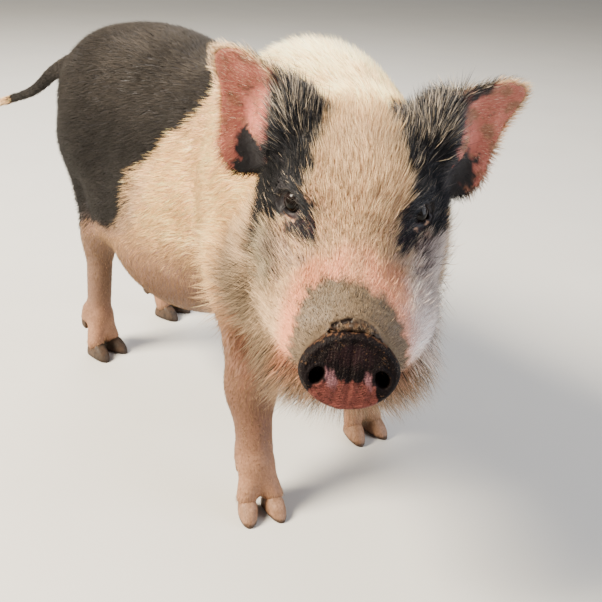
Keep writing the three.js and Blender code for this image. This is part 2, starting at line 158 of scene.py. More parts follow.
def lamp(name, place, target, size, power, colour):
    """A square soft lamp at a place, in metres, turned towards a target."""
    data = bpy.data.lights.new(name, "AREA")
    data.size = size
    data.energy = power
    data.color = colour
    obj = bpy.data.objects.new(name, data)
    bpy.context.collection.objects.link(obj)
    back = np.array(place, float) - np.array(target, float)
    back /= np.linalg.norm(back)
    side = np.cross([0, 0, 1], back)
    side /= np.linalg.norm(side)
    turned = np.eye(4)
    turned[:3, :3] = np.stack([side, np.cross(back, side), back], axis=1)
    turned[:3, 3] = place
    obj.matrix_world = Matrix(turned)


lamp("key", (-1.9, 0.8, 2.3), (0, -0.1, 0.25), 1.1, 540, (1.0, 0.90, 0.72))
lamp("fill", (1.3, -2.1, 1.0), (0, -0.2, 0.25), 1.8, 85, (0.88, 0.92, 1.0))
lamp("rim", (0.9, 1.5, 1.9), (0, 0, 0.3), 1.5, 60, (0.98, 0.98, 1.0))
sky = bpy.data.worlds.new("sky")
sky.use_nodes = True
background = sky.node_tree.nodes["Background"]
background.inputs["Color"].default_value = (0.86, 0.89, 0.93, 1)
background.inputs["Strength"].default_value = 0.34
bpy.context.scene.world = sky

# %% [markdown]
# ## Helpers for meshes and materials
# Every piece is a mesh made from whole arrays, because a loop over vertices would take minutes for a coat. A
# small shader helper keeps each material short: it makes a node, sets its sockets and gives back its output.


# %% Meshes from arrays
def make_piece(name, points, faces, smooth=True, checked=True):
    """A piece in the packed model's frame from points in millimetres and an array of faces."""
    mesh = bpy.data.meshes.new(name)
    points = (np.asarray(points, float) + SHIFT) * MM
    faces = np.asarray(faces)
    mesh.vertices.add(len(points))
    mesh.vertices.foreach_set("co", points.ravel())
    mesh.loops.add(faces.size)
    mesh.loops.foreach_set("vertex_index", faces.ravel().astype(np.int32))
    mesh.polygons.add(len(faces))
    mesh.polygons.foreach_set("loop_start", np.arange(0, faces.size, faces.shape[1], dtype=np.int32))
    mesh.update(calc_edges=True)
    if checked:
        mesh.validate()
    if smooth:
        mesh.polygons.foreach_set("use_smooth", np.ones(len(mesh.polygons), bool))
    obj = bpy.data.objects.new(name, mesh)
    bpy.context.collection.objects.link(obj)
    return obj


def points_of(obj):
    """The piece's vertices in millimetres in the pig's frame."""
    flat = np.empty(len(obj.data.vertices) * 3)
    obj.data.vertices.foreach_get("co", flat)
    return flat.reshape(-1, 3) / MM - SHIFT


def paint(obj, name, values):
    """Stores one colour or one number for each vertex."""
    if values.ndim == 1:
        layer = obj.data.attributes.new(name, "FLOAT", "POINT")
        layer.data.foreach_set("value", values.astype(np.float32))
    else:
        layer = obj.data.attributes.new(name, "FLOAT_COLOR", "POINT")
        rgba = np.column_stack([values, np.ones(len(values))]).astype(np.float32)
        layer.data.foreach_set("color", rgba.ravel())


def grid_faces(rows, columns):
    """Quads of a grid of points, row by row, closed round the columns."""
    i, j = np.meshgrid(np.arange(rows - 1), np.arange(columns), indexing="ij")
    here, ahead = i * columns, (i + 1) * columns
    next_j = (j + 1) % columns
    return np.stack([here + j, here + next_j, ahead + next_j, ahead + j], axis=-1).reshape(-1, 4)


def capped_faces(rows, columns, turned=False):
    """Triangles of that grid, with a fan to a point before its first row and to one behind its last."""
    way = -1 if turned else 1
    quads = grid_faces(rows, columns)[:, ::way]
    this = np.arange(columns)
    following = (this + 1) % columns
    first, last, base = rows * columns, rows * columns + 1, (rows - 1) * columns
    start = np.stack([this * 0 + first, following, this], 1)
    end = np.stack([this * 0 + last, base + this, base + following], 1)
    return np.concatenate([quads[:, [0, 1, 2]], quads[:, [0, 2, 3]], start[:, ::way], end[:, ::way]])


def face_outwards(obj, merge=0.0):
    """Joins points closer than merge, in metres, and turns every face of a closed piece outwards."""
    build = bmesh.new()
    build.from_mesh(obj.data)
    if merge:
        bmesh.ops.remove_doubles(build, verts=build.verts, dist=merge)
    bmesh.ops.recalc_face_normals(build, faces=build.faces)
    build.to_mesh(obj.data)
    build.free()


print("quads of a grid of 3 by 4 points:", len(grid_faces(3, 4)))


# %% Shaders
class Shader:
    """A material with a Principled surface, and short calls for the nodes that feed it."""

    def __init__(self, name, roughness=0.5, **constants):
        """A new material, whose constants are named as the surface's sockets are, with _ for a space."""
        self.material = bpy.data.materials.new(name)
        self.material.use_nodes = True
        self.tree = self.material.node_tree
        self.surface = self.tree.nodes["Principled BSDF"]
        self.surface.inputs["Roughness"].default_value = roughness
        for socket, value in constants.items():
            self.surface.inputs[socket.replace("_", " ")].default_value = value
        self.place = self.tree.nodes.new("ShaderNodeTexCoord").outputs["Object"]

    def link(self, value, socket):
        """Joins an output to a socket, or sets the socket to a constant."""
        if isinstance(value, bpy.types.NodeSocket):
            self.tree.links.new(value, socket)
        else:
            socket.default_value = value

    def attribute(self, name, output="Color"):
        """What a piece stores for each vertex under a name."""
        node = self.tree.nodes.new("ShaderNodeAttribute")
        node.attribute_name = name
        return node.outputs[output]

    def noise(self, scale, detail=3.0, distortion=0.0, stretch=None):
        """Fractal noise on the object's own coordinates. Scale is in bumps per metre."""
        place = self.place
        if stretch:
            mapping = self.tree.nodes.new("ShaderNodeMapping")
            mapping.inputs["Scale"].default_value = stretch
            self.tree.links.new(place, mapping.inputs["Vector"])
            place = mapping.outputs["Vector"]
        node = self.tree.nodes.new("ShaderNodeTexNoise")
        node.inputs["Scale"].default_value = scale
        node.inputs["Detail"].default_value = detail
        node.inputs["Distortion"].default_value = distortion
        self.tree.links.new(place, node.inputs["Vector"])
        return node.outputs["Fac"]

    def cells(self, scale, feature="F1"):
        """Distance to the nearest of scattered points, or to the border between them."""
        node = self.tree.nodes.new("ShaderNodeTexVoronoi")
        node.feature = feature
        node.inputs["Scale"].default_value = scale
        self.tree.links.new(self.place, node.inputs["Vector"])
        return node.outputs["Distance"]

    def spread(self, value, low, high, to_low=0.0, to_high=1.0):
        """Maps low to high onto to_low to to_high in a straight line, and cuts off what lies outside."""
        node = self.tree.nodes.new("ShaderNodeMapRange")
        ends = {"From Min": low, "From Max": high, "To Min": to_low, "To Max": to_high}
        for socket, number in ends.items():
            node.inputs[socket].default_value = number
        self.link(value, node.inputs["Value"])
        return node.outputs["Result"]

    def maths(self, operation, a, b):
        """One sum on two numbers, such as ADD or MULTIPLY."""
        node = self.tree.nodes.new("ShaderNodeMath")
        node.operation = operation
        self.link(a, node.inputs[0])
        self.link(b, node.inputs[1])
        return node.outputs["Value"]

    def mix(self, share, a, b, blend="MIX"):
        """Colour a where share is 0 and colour b where it is 1, or another blend of the two."""
        node = self.tree.nodes.new("ShaderNodeMix")
        node.data_type = "RGBA"
        node.blend_type = blend
        self.link(share, node.inputs[0])
        self.link(a, node.inputs[6])
        self.link(b, node.inputs[7])
        return node.outputs[2]

    def bump(self, *layers):
        """Bumps laid over each other, each (height, distance in metres, strength)."""
        normal = None
        for height, distance, strength in layers:
            node = self.tree.nodes.new("ShaderNodeBump")
            node.inputs["Distance"].default_value = distance
            node.inputs["Strength"].default_value = strength
            self.link(height, node.inputs["Height"])
            if normal:
                self.tree.links.new(normal, node.inputs["Normal"])
            normal = node.outputs["Normal"]
        self.tree.links.new(normal, self.surface.inputs["Normal"])

    def colour(self, value):
        """Sets the base colour, and gives the material back."""
        self.link(value, self.surface.inputs["Base Color"])
        return self

    def on(self, obj):
        """Lays the material on a piece."""
        obj.data.materials.append(self.material)


def rgb(r, g, b):
    """A colour in linear light, with full cover."""
    return (r, g, b, 1.0)


print("a shader has", len([word for word in vars(Shader) if word[0] != "_"]), "short calls")


# %% [markdown]
# ## The floor
# The pig stands on a wide pale floor that runs off to the horizon. A box or a grid would do, but a flat disc
# has no edge that comes nearer on one side. It is one face, given by a radius and an angle.

# %% Floor
FLOOR_RADIUS, FLOOR_CORNERS = 14000, 96
angle = np.linspace(0, 2 * math.pi, FLOOR_CORNERS, endpoint=False)
floor_points = np.column_stack([FLOOR_RADIUS * np.cos(angle), FLOOR_RADIUS * np.sin(angle), 0 * angle])
floor = make_piece("floor", floor_points, np.arange(FLOOR_CORNERS)[None, :], smooth=False)
floor_paint = Shader("pale plinth", roughness=0.75)
floor_paint.colour(
    floor_paint.mix(floor_paint.noise(6, 4), rgb(0.47, 0.455, 0.43), rgb(0.51, 0.495, 0.47))
).on(floor)
print("floor radius:", FLOOR_RADIUS * MM, "m")

# %% [markdown]
# ## Flesh as one distance function
# Skin runs without a seam over very different forms, from a barrel to a thin ear. Sculpting tools or a
# subdivision cage could make it. A distance function was chosen: each mass of the body is a ball or a tapered
# limb, and a soft minimum melts them into one closed form, which is negative inside.

# %% Balls, limbs and how they melt
FAR = 60.0


def melt(a, b, softness):
    """The smaller of two distances, rounded where they are nearly equal."""
    near = np.maximum(softness - np.abs(a - b), 0) / softness
    return np.minimum(a, b) - near * near * softness / 4


def carve(a, b, softness):
    """The larger of two distances, rounded where they are nearly equal."""
    return -melt(-a, -b, softness)


def ball(where, centre, radii, lean=0.0, softness=30.0):
    """An ellipsoid: k (k - 1) / g, with k the radius in units of the half sizes and g its slope."""
    place = where @ frame_at(*centre, 0, lean)
    radii = np.array(radii, float)

    def distance(points):
        """k (k - 1) / g at points."""
        p = local(place, points) / radii
        outer = np.linalg.norm(p, axis=1)
        inner = np.linalg.norm(p / radii, axis=1)
        return outer * (outer - 1) / np.maximum(inner, 1e-9)

    return distance, place[:3, 3], radii.max(), softness


def limb(a, b, radius_a, radius_b, softness=20.0):
    """A cone with round ends: distance to the slanted wall, or to the ball at either end."""
    length = np.linalg.norm(b - a)
    along = (b - a) / length
    slope = (radius_a - radius_b) / length
    lean = math.sqrt(max(1 - slope * slope, 0))

    def distance(points):
        """Distance to the wall or to the nearer ball."""
        p = points - a
        t = p @ along
        out = np.sqrt(np.maximum((p * p).sum(1) - t * t, 0))
        shifted = t * lean - out * slope
        wall = out * lean + t * slope - radius_a
        wall = np.where(shifted < 0, np.hypot(out, t) - radius_a, wall)
        return np.where(shifted > length * lean, np.hypot(out, t - length) - radius_b, wall)

    return distance, (a + b) / 2, length / 2 + max(radius_a, radius_b), softness


def chain(joints, softness):
    """Tapered limbs through named joints, each (point, radius)."""
    return [limb(a, b, ra, rb, softness) for (a, ra), (b, rb) in zip(joints, joints[1:])]


def melted(pieces, points):
    """All the pieces melted together, in order. A piece too far off to matter is left out."""
    total = np.full(len(points), FAR)
    for distance, middle, reach, softness in pieces:
        gap = np.linalg.norm(points - middle, axis=1) - reach
        near = np.flatnonzero(gap < np.minimum(total + softness, FAR))
        if len(near):
            total[near] = melt(total[near], distance(points[near]), softness)
    return total


print("two walls 0 and 0 apart, melted by 20:", melt(0.0, 0.0, 20.0), "mm")

# %% [markdown]
# ## Masses of the body
# A butcher would name these masses: chest, withers, ribs, belly, loin and rump, then the neck and the head's
# own forms. They are the same named masses as in the packed solids, so the skin follows them exactly.

# %% Trunk, neck and head
TRUNK = {
    "chest": (SPINE_LENGTH - 30, 0, 290, (88, 112, 108)),
    "withers": (SPINE_LENGTH - 5, 0, 344, (54, 90, 74)),
    "ribs": (200, 0, 270, (104, 125, 120)),
    "belly": (150, 0, 232, (108, 122, 132)),
    "flanks": (98, 0, 208, (103, 104, 117)),
    "loin": (75, 0, 297, (94, 108, 109)),
    "rump": (10, 0, 313, (84, 90, 92)),
    "tail head": (-28, 0, 315, (56, 52, 66)),
    "brisket": (SPINE_LENGTH + 25, 0, 238, (54, 60, 52), -0.3),
    "right shoulder": (SPINE_LENGTH, -62, 262, (46, 58, 84)),
    "left shoulder": (SPINE_LENGTH, 62, 262, (46, 58, 84)),
}
flesh_pieces = [
    ball(spine_frame(distance), (x, 0, z), radii, *lean, *([0.0] * (1 - len(lean))), 40)
    for distance, x, z, radii, *lean in TRUNK.values()
]
flesh_pieces += [
    limb(at(shoulders, 0, 5, 325), at(head, 0, 84, -8), 88, 60, 45),
    limb(at(shoulders, 0, -10, 262), at(head, 0, 66, -52), 74, 58, 40),
    ball(head, (-56, 46, -97), (44, 50, 54), 0, 24),
    ball(head, (0, 42, 4), (58, 60, 50), 0, 25),
    ball(head, (0, 10, -2), (47, 44, 38), 0.3, 22),
    limb(at(head, 0, -2, -22), at(head, 0, -90, -49), 38, 31, 18),
    limb(at(head, 0, 20, -78), at(head, 0, -90, -78), 34, 16, 20),
]
HEAD_SIDES = {
    "lip": ((22, -68, -56), (32, 44, 32), 0, 16),
    "cheek": ((36, -30, -66), (34, 50, 37), 0, 20),
    "temple": ((42, 32, -34), (34, 50, 46), 0, 22),
    "jowl": ((40, 36, -74), (38, 50, 40), 0, 24),
    "under the eye": ((34, -12, -37), (28, 38, 24), 0.4, 16),
    "brow": ((38, 4, 14), (17, 20, 12), 0, 12),
    "chin": ((26, -56, -86), (31, 40, 27), 0, 16),
    "ear root": ((56, 60, 30), (30, 24, 34), 0, 16),
}
for side in (-1, 1):
    for (x, y, z), *rest in HEAD_SIDES.values():
        flesh_pieces.append(ball(head, (x * side, y, z), *rest))
print("masses of trunk, neck and head:", len(flesh_pieces))

# %% [markdown]
# ## Legs, feet and tail
# A pig stands on two toes of each foot, with two dewclaws hanging behind. An armature could pose a straight
# leg, but this pig never moves. So each leg is a chain of tapered limbs from the shoulder or hip down to the
# fetlock, already in its pose, and the tail is a chain along a smooth curve.

# %% Legs, feet and tail
LEG_SOFT = 22
legs = {
    "fore_right": [
        (at(shoulders, -62, -8, 258), 44),
        (at(shoulders, -70, 4, 206), 31),
        (at(shoulders, -77, -36, 114), 21.5),
        (at(shoulders, -82, -64, 50), 18),
    ],
    "fore_left": [
        (at(shoulders, 62, -4, 258), 44),
        (at(shoulders, 68, 20, 206), 31),
        (at(shoulders, 69, 18, 114), 21),
        (at(shoulders, 72, 21, 50), 18),
    ],
    "hind_right": [
        (at(hips, -46, -6, 290), 56),
        (at(hips, -56, -44, 218), 40),
        (at(hips, -44, 22, 150), 17.5),
        (at(hips, -51, 23, 52), 15.5),
    ],
    "hind_left": [
        (at(hips, 46, -4, 290), 56),
        (at(hips, 62, -36, 218), 40),
        (at(hips, 70, 36, 150), 17.5),
        (at(hips, 78, 33, 52), 15.5),
    ],
}
feet = {
    "fore_right": shoulders @ frame_at(-83, -78, 0, 0.1),
    "fore_left": shoulders @ frame_at(75, 10, 0, -0.1),
    "hind_right": hips @ frame_at(-57, 15, 0, 0.08),
    "hind_left": hips @ frame_at(82, 23, 0, -0.08),
}
TOE = {"spread": 13, "splay": 0.15}
DEWCLAW = {"spread": 12, "back": 14, "height": 40}


def foot_flesh(foot, fetlock):
    """Two toes and two short stalks behind them for the dewclaws: tapered limbs from the fetlock down."""
    x, y = local(foot, fetlock[None] * (1, 1, 0))[0, :2]
    pieces = []
    for side in (-1, 1):
        toe = at(foot, TOE["spread"] * side, -2, 19)
        root = at(foot, x + 9 * side, y + 9, 58)
        stalk = at(foot, x + DEWCLAW["spread"] * side, y + DEWCLAW["back"] - 1, 46)
        pieces.append(limb(fetlock * 0.85 + toe * 0.15, toe, 14, 10.5, 10))
        pieces.append(limb(root, stalk, 9, 6.5, 8))
    return pieces


for kind in ("fore", "hind"):
    for side in ("right", "left"):
        joints = legs[f"{kind}_{side}"]
        flesh_pieces += chain(joints, LEG_SOFT)
        flesh_pieces += foot_flesh(feet[f"{kind}_{side}"], joints[-1][0])
for side in (-1, 1):
    # The ham closes the space between the thigh and the rump.
    flesh_pieces.append(limb(at(hips, 40 * side, 22, 268), at(hips, 48 * side, 26, 178), 40, 17, 24))
tail_joints = [
    (at(hips, 0, 80, 352), 15),
    (at(hips, 4, 130, 332), 9),
    (at(hips, 8, 180, 300), 6.5),
    (at(hips, 10, 262, 270), 4),
]


def curved(joints, steps=5):
    """More joints on a smooth curve through the given ones: a cubic whose slope joins the neighbours."""
    spots = np.array([np.append(point, radius) for point, radius in joints])
    spots = np.concatenate([[2 * spots[0] - spots[1]], spots, [2 * spots[-1] - spots[-2]]])
    out = []
    for a, b, c, d in zip(spots, spots[1:], spots[2:], spots[3:]):
        for t in np.arange(steps) / steps:
            bend = 2 * a - 5 * b + 4 * c - d + t * (3 * (b - c) + d - a)
            out.append(b + 0.5 * t * (c - a + t * bend))
    return [(spot[:3], spot[3]) for spot in [*out, spots[-2]]]


strand = chain(curved(tail_joints), 1.5)
flesh_pieces.append((lambda points: melted(strand, points), at(hips, 6, 170, 310), 120, 14))
print("with legs, feet and tail:", len(flesh_pieces))

# %% [markdown]
# ## Ears
# An ear is a thin plate cupped along its length. A sheet with a Solidify modifier would leave a seam at its
# root, so it is a distance too. Its outline is a few limbs melted in the plate's own plane, and the plate
# thickens towards its root. The skin's ear is thinner than the solid's by its fine hair.

# %% Ears
EAR = {"thickness": 8, "cup": 9, "root": 13, "half width": 50}
ear_frames = {
    -1: head @ frame_at(-64, 60, 34, 0.1, 0, -0.04),
    1: head @ frame_at(64, 60, 34, -0.1, 0, 0.22),
}
ear_outline = [
    limb(np.array([-2.0, 0, 8]), np.array([33.0, 0, 37]), 27, 17, 8),
    limb(np.array([33.0, 0, 37]), np.array([43.0, 0, 45]), 16, 9, 8),
    limb(np.array([33.0, 0, 37]), np.array([30.0, 0, -22]), 16, 18, 8),
    limb(np.array([0.0, 0, 0]), np.array([25.0, 0, -29]), 22, 20, 8),
]


def on_ear(side, points):
    """Points seen in one ear's frame, mirrored so that +X leads out to the tip on both."""
    return local(ear_frames[side], points) * (side, 1, 1)


def cup_height(p):
    """A parabola across the blade, whose middle line leans up towards the tip."""
    return EAR["cup"] * np.maximum(1 - (p[:, 2] - 0.6 * p[:, 0]) ** 2 / EAR["half width"] ** 2, -1)


def ear(side):
    """Distance to a cupped plate: the outline's distance in its plane, and the height off its cup."""

    def distance(points):
        """Distance to a plate with a round edge, thicker at its root."""
        p = on_ear(side, points)
        rim = melted(ear_outline, p * (1, 0, 1))
        half = EAR["thickness"] / 2 + EAR["root"] * np.exp(-np.maximum(p[:, 0] + 6, 0) / 9)
        off = np.abs(p[:, 1] - cup_height(p)) - half
        outside = np.hypot(np.maximum(rim + half, 0), np.maximum(off + half, 0)) - half
        return outside + np.minimum(np.maximum(rim + half, off + half), 0)

    return distance, at(ear_frames[side], 20 * side, 8, 8), 75, 12


flesh_pieces += [ear(-1), ear(1)]
sockets = [ball(head, (58 * side, -12, 3), (13, 13, 12), 0, 14) for side in (-1, 1)]


def flesh(points):
    """The outline out to the tips of the coat: all the masses melted, less the eyes' sockets."""
    total = melted(flesh_pieces, points)
    for distance, middle, reach, softness in sockets:
        near = np.linalg.norm(points - middle, axis=1) < reach + 30
        total[near] = carve(total[near], -distance(points[near]), softness)
    return total


print("flesh at the middle of the ribs:", flesh(at(hips, 0, -150, 270)[None]).round(1), "mm")

# %% [markdown]
# ## How deep the coat lies
# The coat stands about 3 mm off the body, less on the face and legs and almost nothing on ears and feet. The
# skin could be scaled down as a whole, but that would move it sideways, so it is the flesh moved in by the
# coat's own depth at each place.


# %% Depth of the coat, and the skin's distance
def ramp(value, start, end):
    """0 before start, 1 after end, and a smooth climb between."""
    t = np.clip((value - start) / (end - start), 0, 1)
    return t * t * (3 - 2 * t)


def share_of_ear(points):
    """1 on either ear's blade, and 0 off it: climbs along its length, thickness and width, multiplied."""
    share = np.zeros(len(points))
    for side in (-1, 1):
        p = on_ear(side, points)
        beside = ramp(p[:, 0], -2, 12) * ramp(-p[:, 1], -34, -24) * ramp(p[:, 1], -34, -20)
        share = np.maximum(share, beside * ramp(p[:, 2], -60, -48) * ramp(-p[:, 0], -75, -66))
    return share


def share_of_tail(points):
    """1 on the tail behind its root."""
    p = local(hips, points)
    return ramp(p[:, 1], 88, 104) * ramp(p[:, 2], 225, 240)


def coat_depth(points):
    """3.2 mm on the body, 1.8 on the head, 0.9 at the muzzle, 1.3 low on the legs, 1.4 on ears and tail."""
    in_head = local(head, points)
    depth = 3.2 - 1.4 * ramp(-in_head[:, 1], -80, -10) * ramp(in_head[:, 2], -170, -130)
    depth -= 0.9 * ramp(-in_head[:, 1], 40, 80) * ramp(in_head[:, 2], -170, -130)
    depth = np.where(points[:, 2] < 215, np.minimum(depth, 1.3 + 1.9 * ramp(points[:, 2], 120, 215)), depth)
    depth -= 0.7 * ramp(-points[:, 2], -60, -30)
    depth += (1.4 - depth) * np.maximum(share_of_ear(points), share_of_tail(points))
    return depth


def skin_distance(points):
    """The flesh, moved in by the coat's depth and finished with the face's own forms."""
    return face_forms(points, flesh(points) + coat_depth(points))


rib_and_brow = np.array([at(hips, 90, -150, 270), at(head, 0, 20, 30)])
print("coat depth on a rib and on the brow:", coat_depth(rib_and_brow).round(2), "mm")


# %% [markdown]
# ## Lids, folds and mouth
# The face has forms finer than its masses: lids round each eye, a crease above the snout disc and the line of
# the mouth. A bump in the material would not show in outline, so they are thin limbs melted onto the skin or
# carved out of it, worked out only near the head.

# %% Forms of the face
EYE_TURN = 0.5  # each eye looks this far out to its side, in radians
eye_frames = {
    side: head @ frame_at(EYE["across"] * side, EYE["back"], EYE["up"], -EYE_TURN * side, -0.06)
    for side in (-1, 1)
}
OPENING = {"across": 0.64, "up": 0.56}
LID = {"out": 1.22, "height": 12.3, "thickness": 1.5, "wider": 1.15}
CREASE = [(-14, 29.4), (-11.5, 31.2), (-8, 32.4), (-4, 34), (1, 34.3), (5, 33.4), (8.5, 32.6), (12, 30.2)]
CREASE += [(15, 27.6)]
RIDGE = [(-21, 19, 1.7), (-15, 24.8, 2.5), (-9.5, 28.2, 3.1), (-5, 29.4, 2.6), (0, 30.6, 3.2), (6, 29.6, 2.7)]
RIDGE += [(10.5, 27.8, 3.0), (15, 24.8, 2.3), (20.5, 19.5, 1.7)]
crease = chain([(at(disc_frame, x, 4.8, z), 1.5) for x, z in CREASE], 0.5)
ridge = chain([(at(disc_frame, x, 2, z), size) for x, z, size in RIDGE], 2.0)
MOUTH_FRONT, MOUTH_CORNER = (-112, -82), (-22, -64)


def wobble(points, size, seed):
    """A smooth random number at each point, about -1 to 1: six sine waves that cross at random."""
    waves = np.random.default_rng(seed)
    total = np.zeros(len(points))
    for _ in range(6):
        way = waves.normal(size=3)
        way *= 2 * math.pi / (size * waves.uniform(0.6, 1.5) * np.linalg.norm(way))
        total += np.sin(points @ way + waves.uniform(0, 6.3))
    return total / 2.4


def oval_of_lids(p):
    """How far from the line of sight, in an eye's frame, on ovals a little wider than high."""
    return np.hypot(p[:, 0] / LID["wider"], p[:, 2])


def bell(value, middle, width):
    """1 at the middle, and less on both sides: e to the power of minus the square of the way off."""
    return np.exp(-(((value - middle) / width) ** 2))


def muzzle_end(p, skin):
    """A flat seat behind the snout disc, a rough ridge melted on above it and a crease carved above that."""
    q = local(disc_frame, p)
    seat = np.where(np.hypot(q[:, 0], q[:, 2]) < 75, 4.0 - q[:, 1], -FAR)
    skin = carve(skin, seat, 5)
    above = np.flatnonzero((q[:, 2] > 12) & (np.abs(q[:, 0]) < 30) & (q[:, 1] < 25))
    rough = 0.40 * wobble(p[above], 2.9, 53) + 0.15 * wobble(p[above], 6, 54)
    fold = melt(skin[above], melted(ridge, p[above]) + rough, 2.5)
    skin[above] = carve(fold, -melted(crease, p[above]), 1.2)
    return skin


def mouth(p, skin):
    """A slit 5 mm deep round the muzzle, on a straight line that turns up at the corner."""
    r = local(head, p)
    share = (r[:, 1] - MOUTH_FRONT[0]) / (MOUTH_CORNER[0] - MOUTH_FRONT[0])
    line = MOUTH_FRONT[1] + share * (MOUTH_CORNER[1] - MOUTH_FRONT[1]) + 7 * ramp(share, 0.75, 1.1)
    slit = np.maximum(np.abs(r[:, 2] - line) - 0.9, -(skin + 5))
    slit = np.maximum(slit, r[:, 1] - MOUTH_CORNER[0])
    return carve(skin, -slit, 2.5)


def lids(p, s, side):
    """Bells of the oval raise the lids and sink a groove, waves ripple the skin, and a cone opens it."""
    e = local(eye_frames[side], p)
    away = np.linalg.norm(e, axis=1)
    turn = np.arctan2(e[:, 0], -e[:, 1]) / OPENING["across"]
    lift = np.arcsin(np.clip(e[:, 2] / np.maximum(away, 1e-6), -1, 1)) / OPENING["up"]
    round_eye = np.hypot(turn, lift)
    oval = oval_of_lids(e) + 0.7 * wobble(p, 16, 51)
    front = e[:, 1] < 4
    upper = ramp(e[:, 2], -6, 8) * front
    s = s - (0.6 + 0.8 * upper) * bell(oval, 12.9, 1.5) * front
    s = s + 0.8 * bell(oval, 10.8, 0.9) * front
    rings = np.sin(oval * 2 * math.pi / 2.9) * ramp(oval, 13, 15) * ramp(-oval, -25, -16) * front
    s = s + 0.45 * rings
    s = carve(s, -np.maximum((round_eye - 1) * 7, away - 16), 1.2)
    rim = np.hypot((round_eye - LID["out"]) * 7.0, away - LID["height"]) - LID["thickness"]
    return melt(s, rim, 1.5)


def face_forms(points, total):
    """The skin's distance with the muzzle's end, the mouth and both eyes' lids worked in near the head."""
    near = np.flatnonzero(np.linalg.norm(points - head[:3, 3], axis=1) < 190)
    p = points[near]
    skin = mouth(p, muzzle_end(p, total[near]))
    for side in (-1, 1):
        close = np.flatnonzero(np.linalg.norm(p - eye_places[side], axis=1) < 34)
        skin[close] = lids(p[close], skin[close], side)
    total[near] = skin
    return total


print("joints of the ridge above the snout disc:", len(RIDGE), "and of its crease:", len(CREASE))

# %% [markdown]
# ## Wrapping the skin
# The surface lies where the distance is zero. Blender's metaballs and its volume tools wrap one too, but
# neither knows these forms. So space is cut into small cubes, one vertex goes into each cube that the surface
# passes through, and a quad joins the four cubes round each crossed edge. Blocks far off are skipped.


# %% Wrap
def wrap(distance, low, high, cell, block=4):
    """Points and quads of a closed surface round where the distance is negative."""
    low = np.array(low, float)
    blocks = np.ceil((np.array(high) - low) / (cell * block)).astype(int)
    corner = np.stack(np.meshgrid(*[np.arange(n) for n in blocks], indexing="ij"), -1).reshape(-1, 3)
    middle = distance(low + (corner + 0.5) * cell * block)
    near = np.abs(middle) < 0.87 * cell * block * 1.4
    values = np.repeat(np.repeat(np.repeat(middle.reshape(blocks), block, 0), block, 1), block, 2)
    step = np.stack(np.meshgrid(*[np.arange(block)] * 3, indexing="ij"), -1).reshape(-1, 3)
    fine = (corner[near][:, None] * block + step[None]).reshape(-1, 3)
    values[tuple(fine.T)] = distance(low + fine * cell)
    print("distances worked out:", len(corner) + len(fine))
    return surface_of(values, low, cell)


def surface_of(values, low, cell):
    """One point in each crossed cube, the mean of its crossings, and a quad round each crossed edge."""
    inside = values < 0
    corners = np.array([[c & 1, (c >> 1) & 1, c >> 2] for c in range(8)])
    shape = np.array(values.shape)
    i, j, k = shape - 1
    count = sum(inside[a : i + a, b : j + b, c : k + c] * 1 for a, b, c in corners)
    cubes = np.argwhere((count > 0) & (count < 8))
    number = np.full(shape - 1, -1)
    number[tuple(cubes.T)] = np.arange(len(cubes))
    at_corner = values[tuple((cubes[:, None] + corners[None]).transpose(2, 0, 1))]
    total, crossings = np.zeros((len(cubes), 3)), np.zeros(len(cubes))
    for a in range(8):
        for bit in (1, 2, 4):
            if a & bit:
                continue
            va, vb = at_corner[:, a], at_corner[:, a | bit]
            crossed = (va < 0) != (vb < 0)
            t = np.where(crossed, va / np.where(crossed, va - vb, 1), 0)[:, None]
            total += crossed[:, None] * (corners[a] + t * (corners[a | bit] - corners[a]))
            crossings += crossed
    points = low + (cubes + total / crossings[:, None]) * cell

    quads = []
    for axis in range(3):
        u, v = np.eye(3, dtype=int)[(axis + 1) % 3], np.eye(3, dtype=int)[(axis + 2) % 3]
        ahead = np.take(inside, range(1, shape[axis]), axis)
        here = np.take(inside, range(shape[axis] - 1), axis)
        edges = np.argwhere(ahead != here)
        edges = edges[(edges[:, (axis + 1) % 3] > 0) & (edges[:, (axis + 2) % 3] > 0)]
        ring = [number[tuple((edges - shift).T)] for shift in (0 * u, u, u + v, v)]
        ring = np.stack(ring, 1)
        outward = here[tuple(edges.T)]
        quads.append(np.where(outward[:, None], ring, ring[:, ::-1]))
    return points, np.concatenate(quads)


round_ball = wrap(lambda p: np.linalg.norm(p, axis=1) - 20, (-30, -30, -30), (30, 30, 30), 5)
print("a ball of 20 mm, wrapped, has", len(round_ball[0]), "points")

# %% [markdown]
# ## Settling and refining
# A point inside a cube is only near the surface. Each one slides along the slope until its distance is zero,
# which keeps the folds crisp. Finer cubes all over would make a heavy mesh, so only the faces on the head,
# ears and feet are divided, and their new points slide too.

# %% Settle and refine
TETRA = np.array([[1, -1, -1], [-1, -1, 1], [-1, 1, -1], [1, 1, 1]], float)


def slope_of(distance, points, reach=0.35):
    """Value and slope of a distance at points, from four samples round each."""
    samples = np.stack([distance(points + reach * corner) for corner in TETRA])
    return samples.mean(0), (samples[:, :, None] * TETRA[:, None]).sum(0) / (4 * reach)


def settle(points, distance, steps=3, most=4.0):
    """Slides points along the slope until the distance is zero."""
    for _ in range(steps):
        value, slope = slope_of(distance, points)
        move = -value[:, None] * slope / np.maximum((slope**2).sum(1), 0.3)[:, None]
        length = np.linalg.norm(move, axis=1, keepdims=True)
        points = points + move * np.minimum(1, most / np.maximum(length, 1e-9))
    return points


def thickened(points):
    """The skin, with ears and tail made thick enough for the cubes to catch both their sides."""
    return skin_distance(points) - 2.6 * np.maximum(share_of_ear(points), share_of_tail(points))


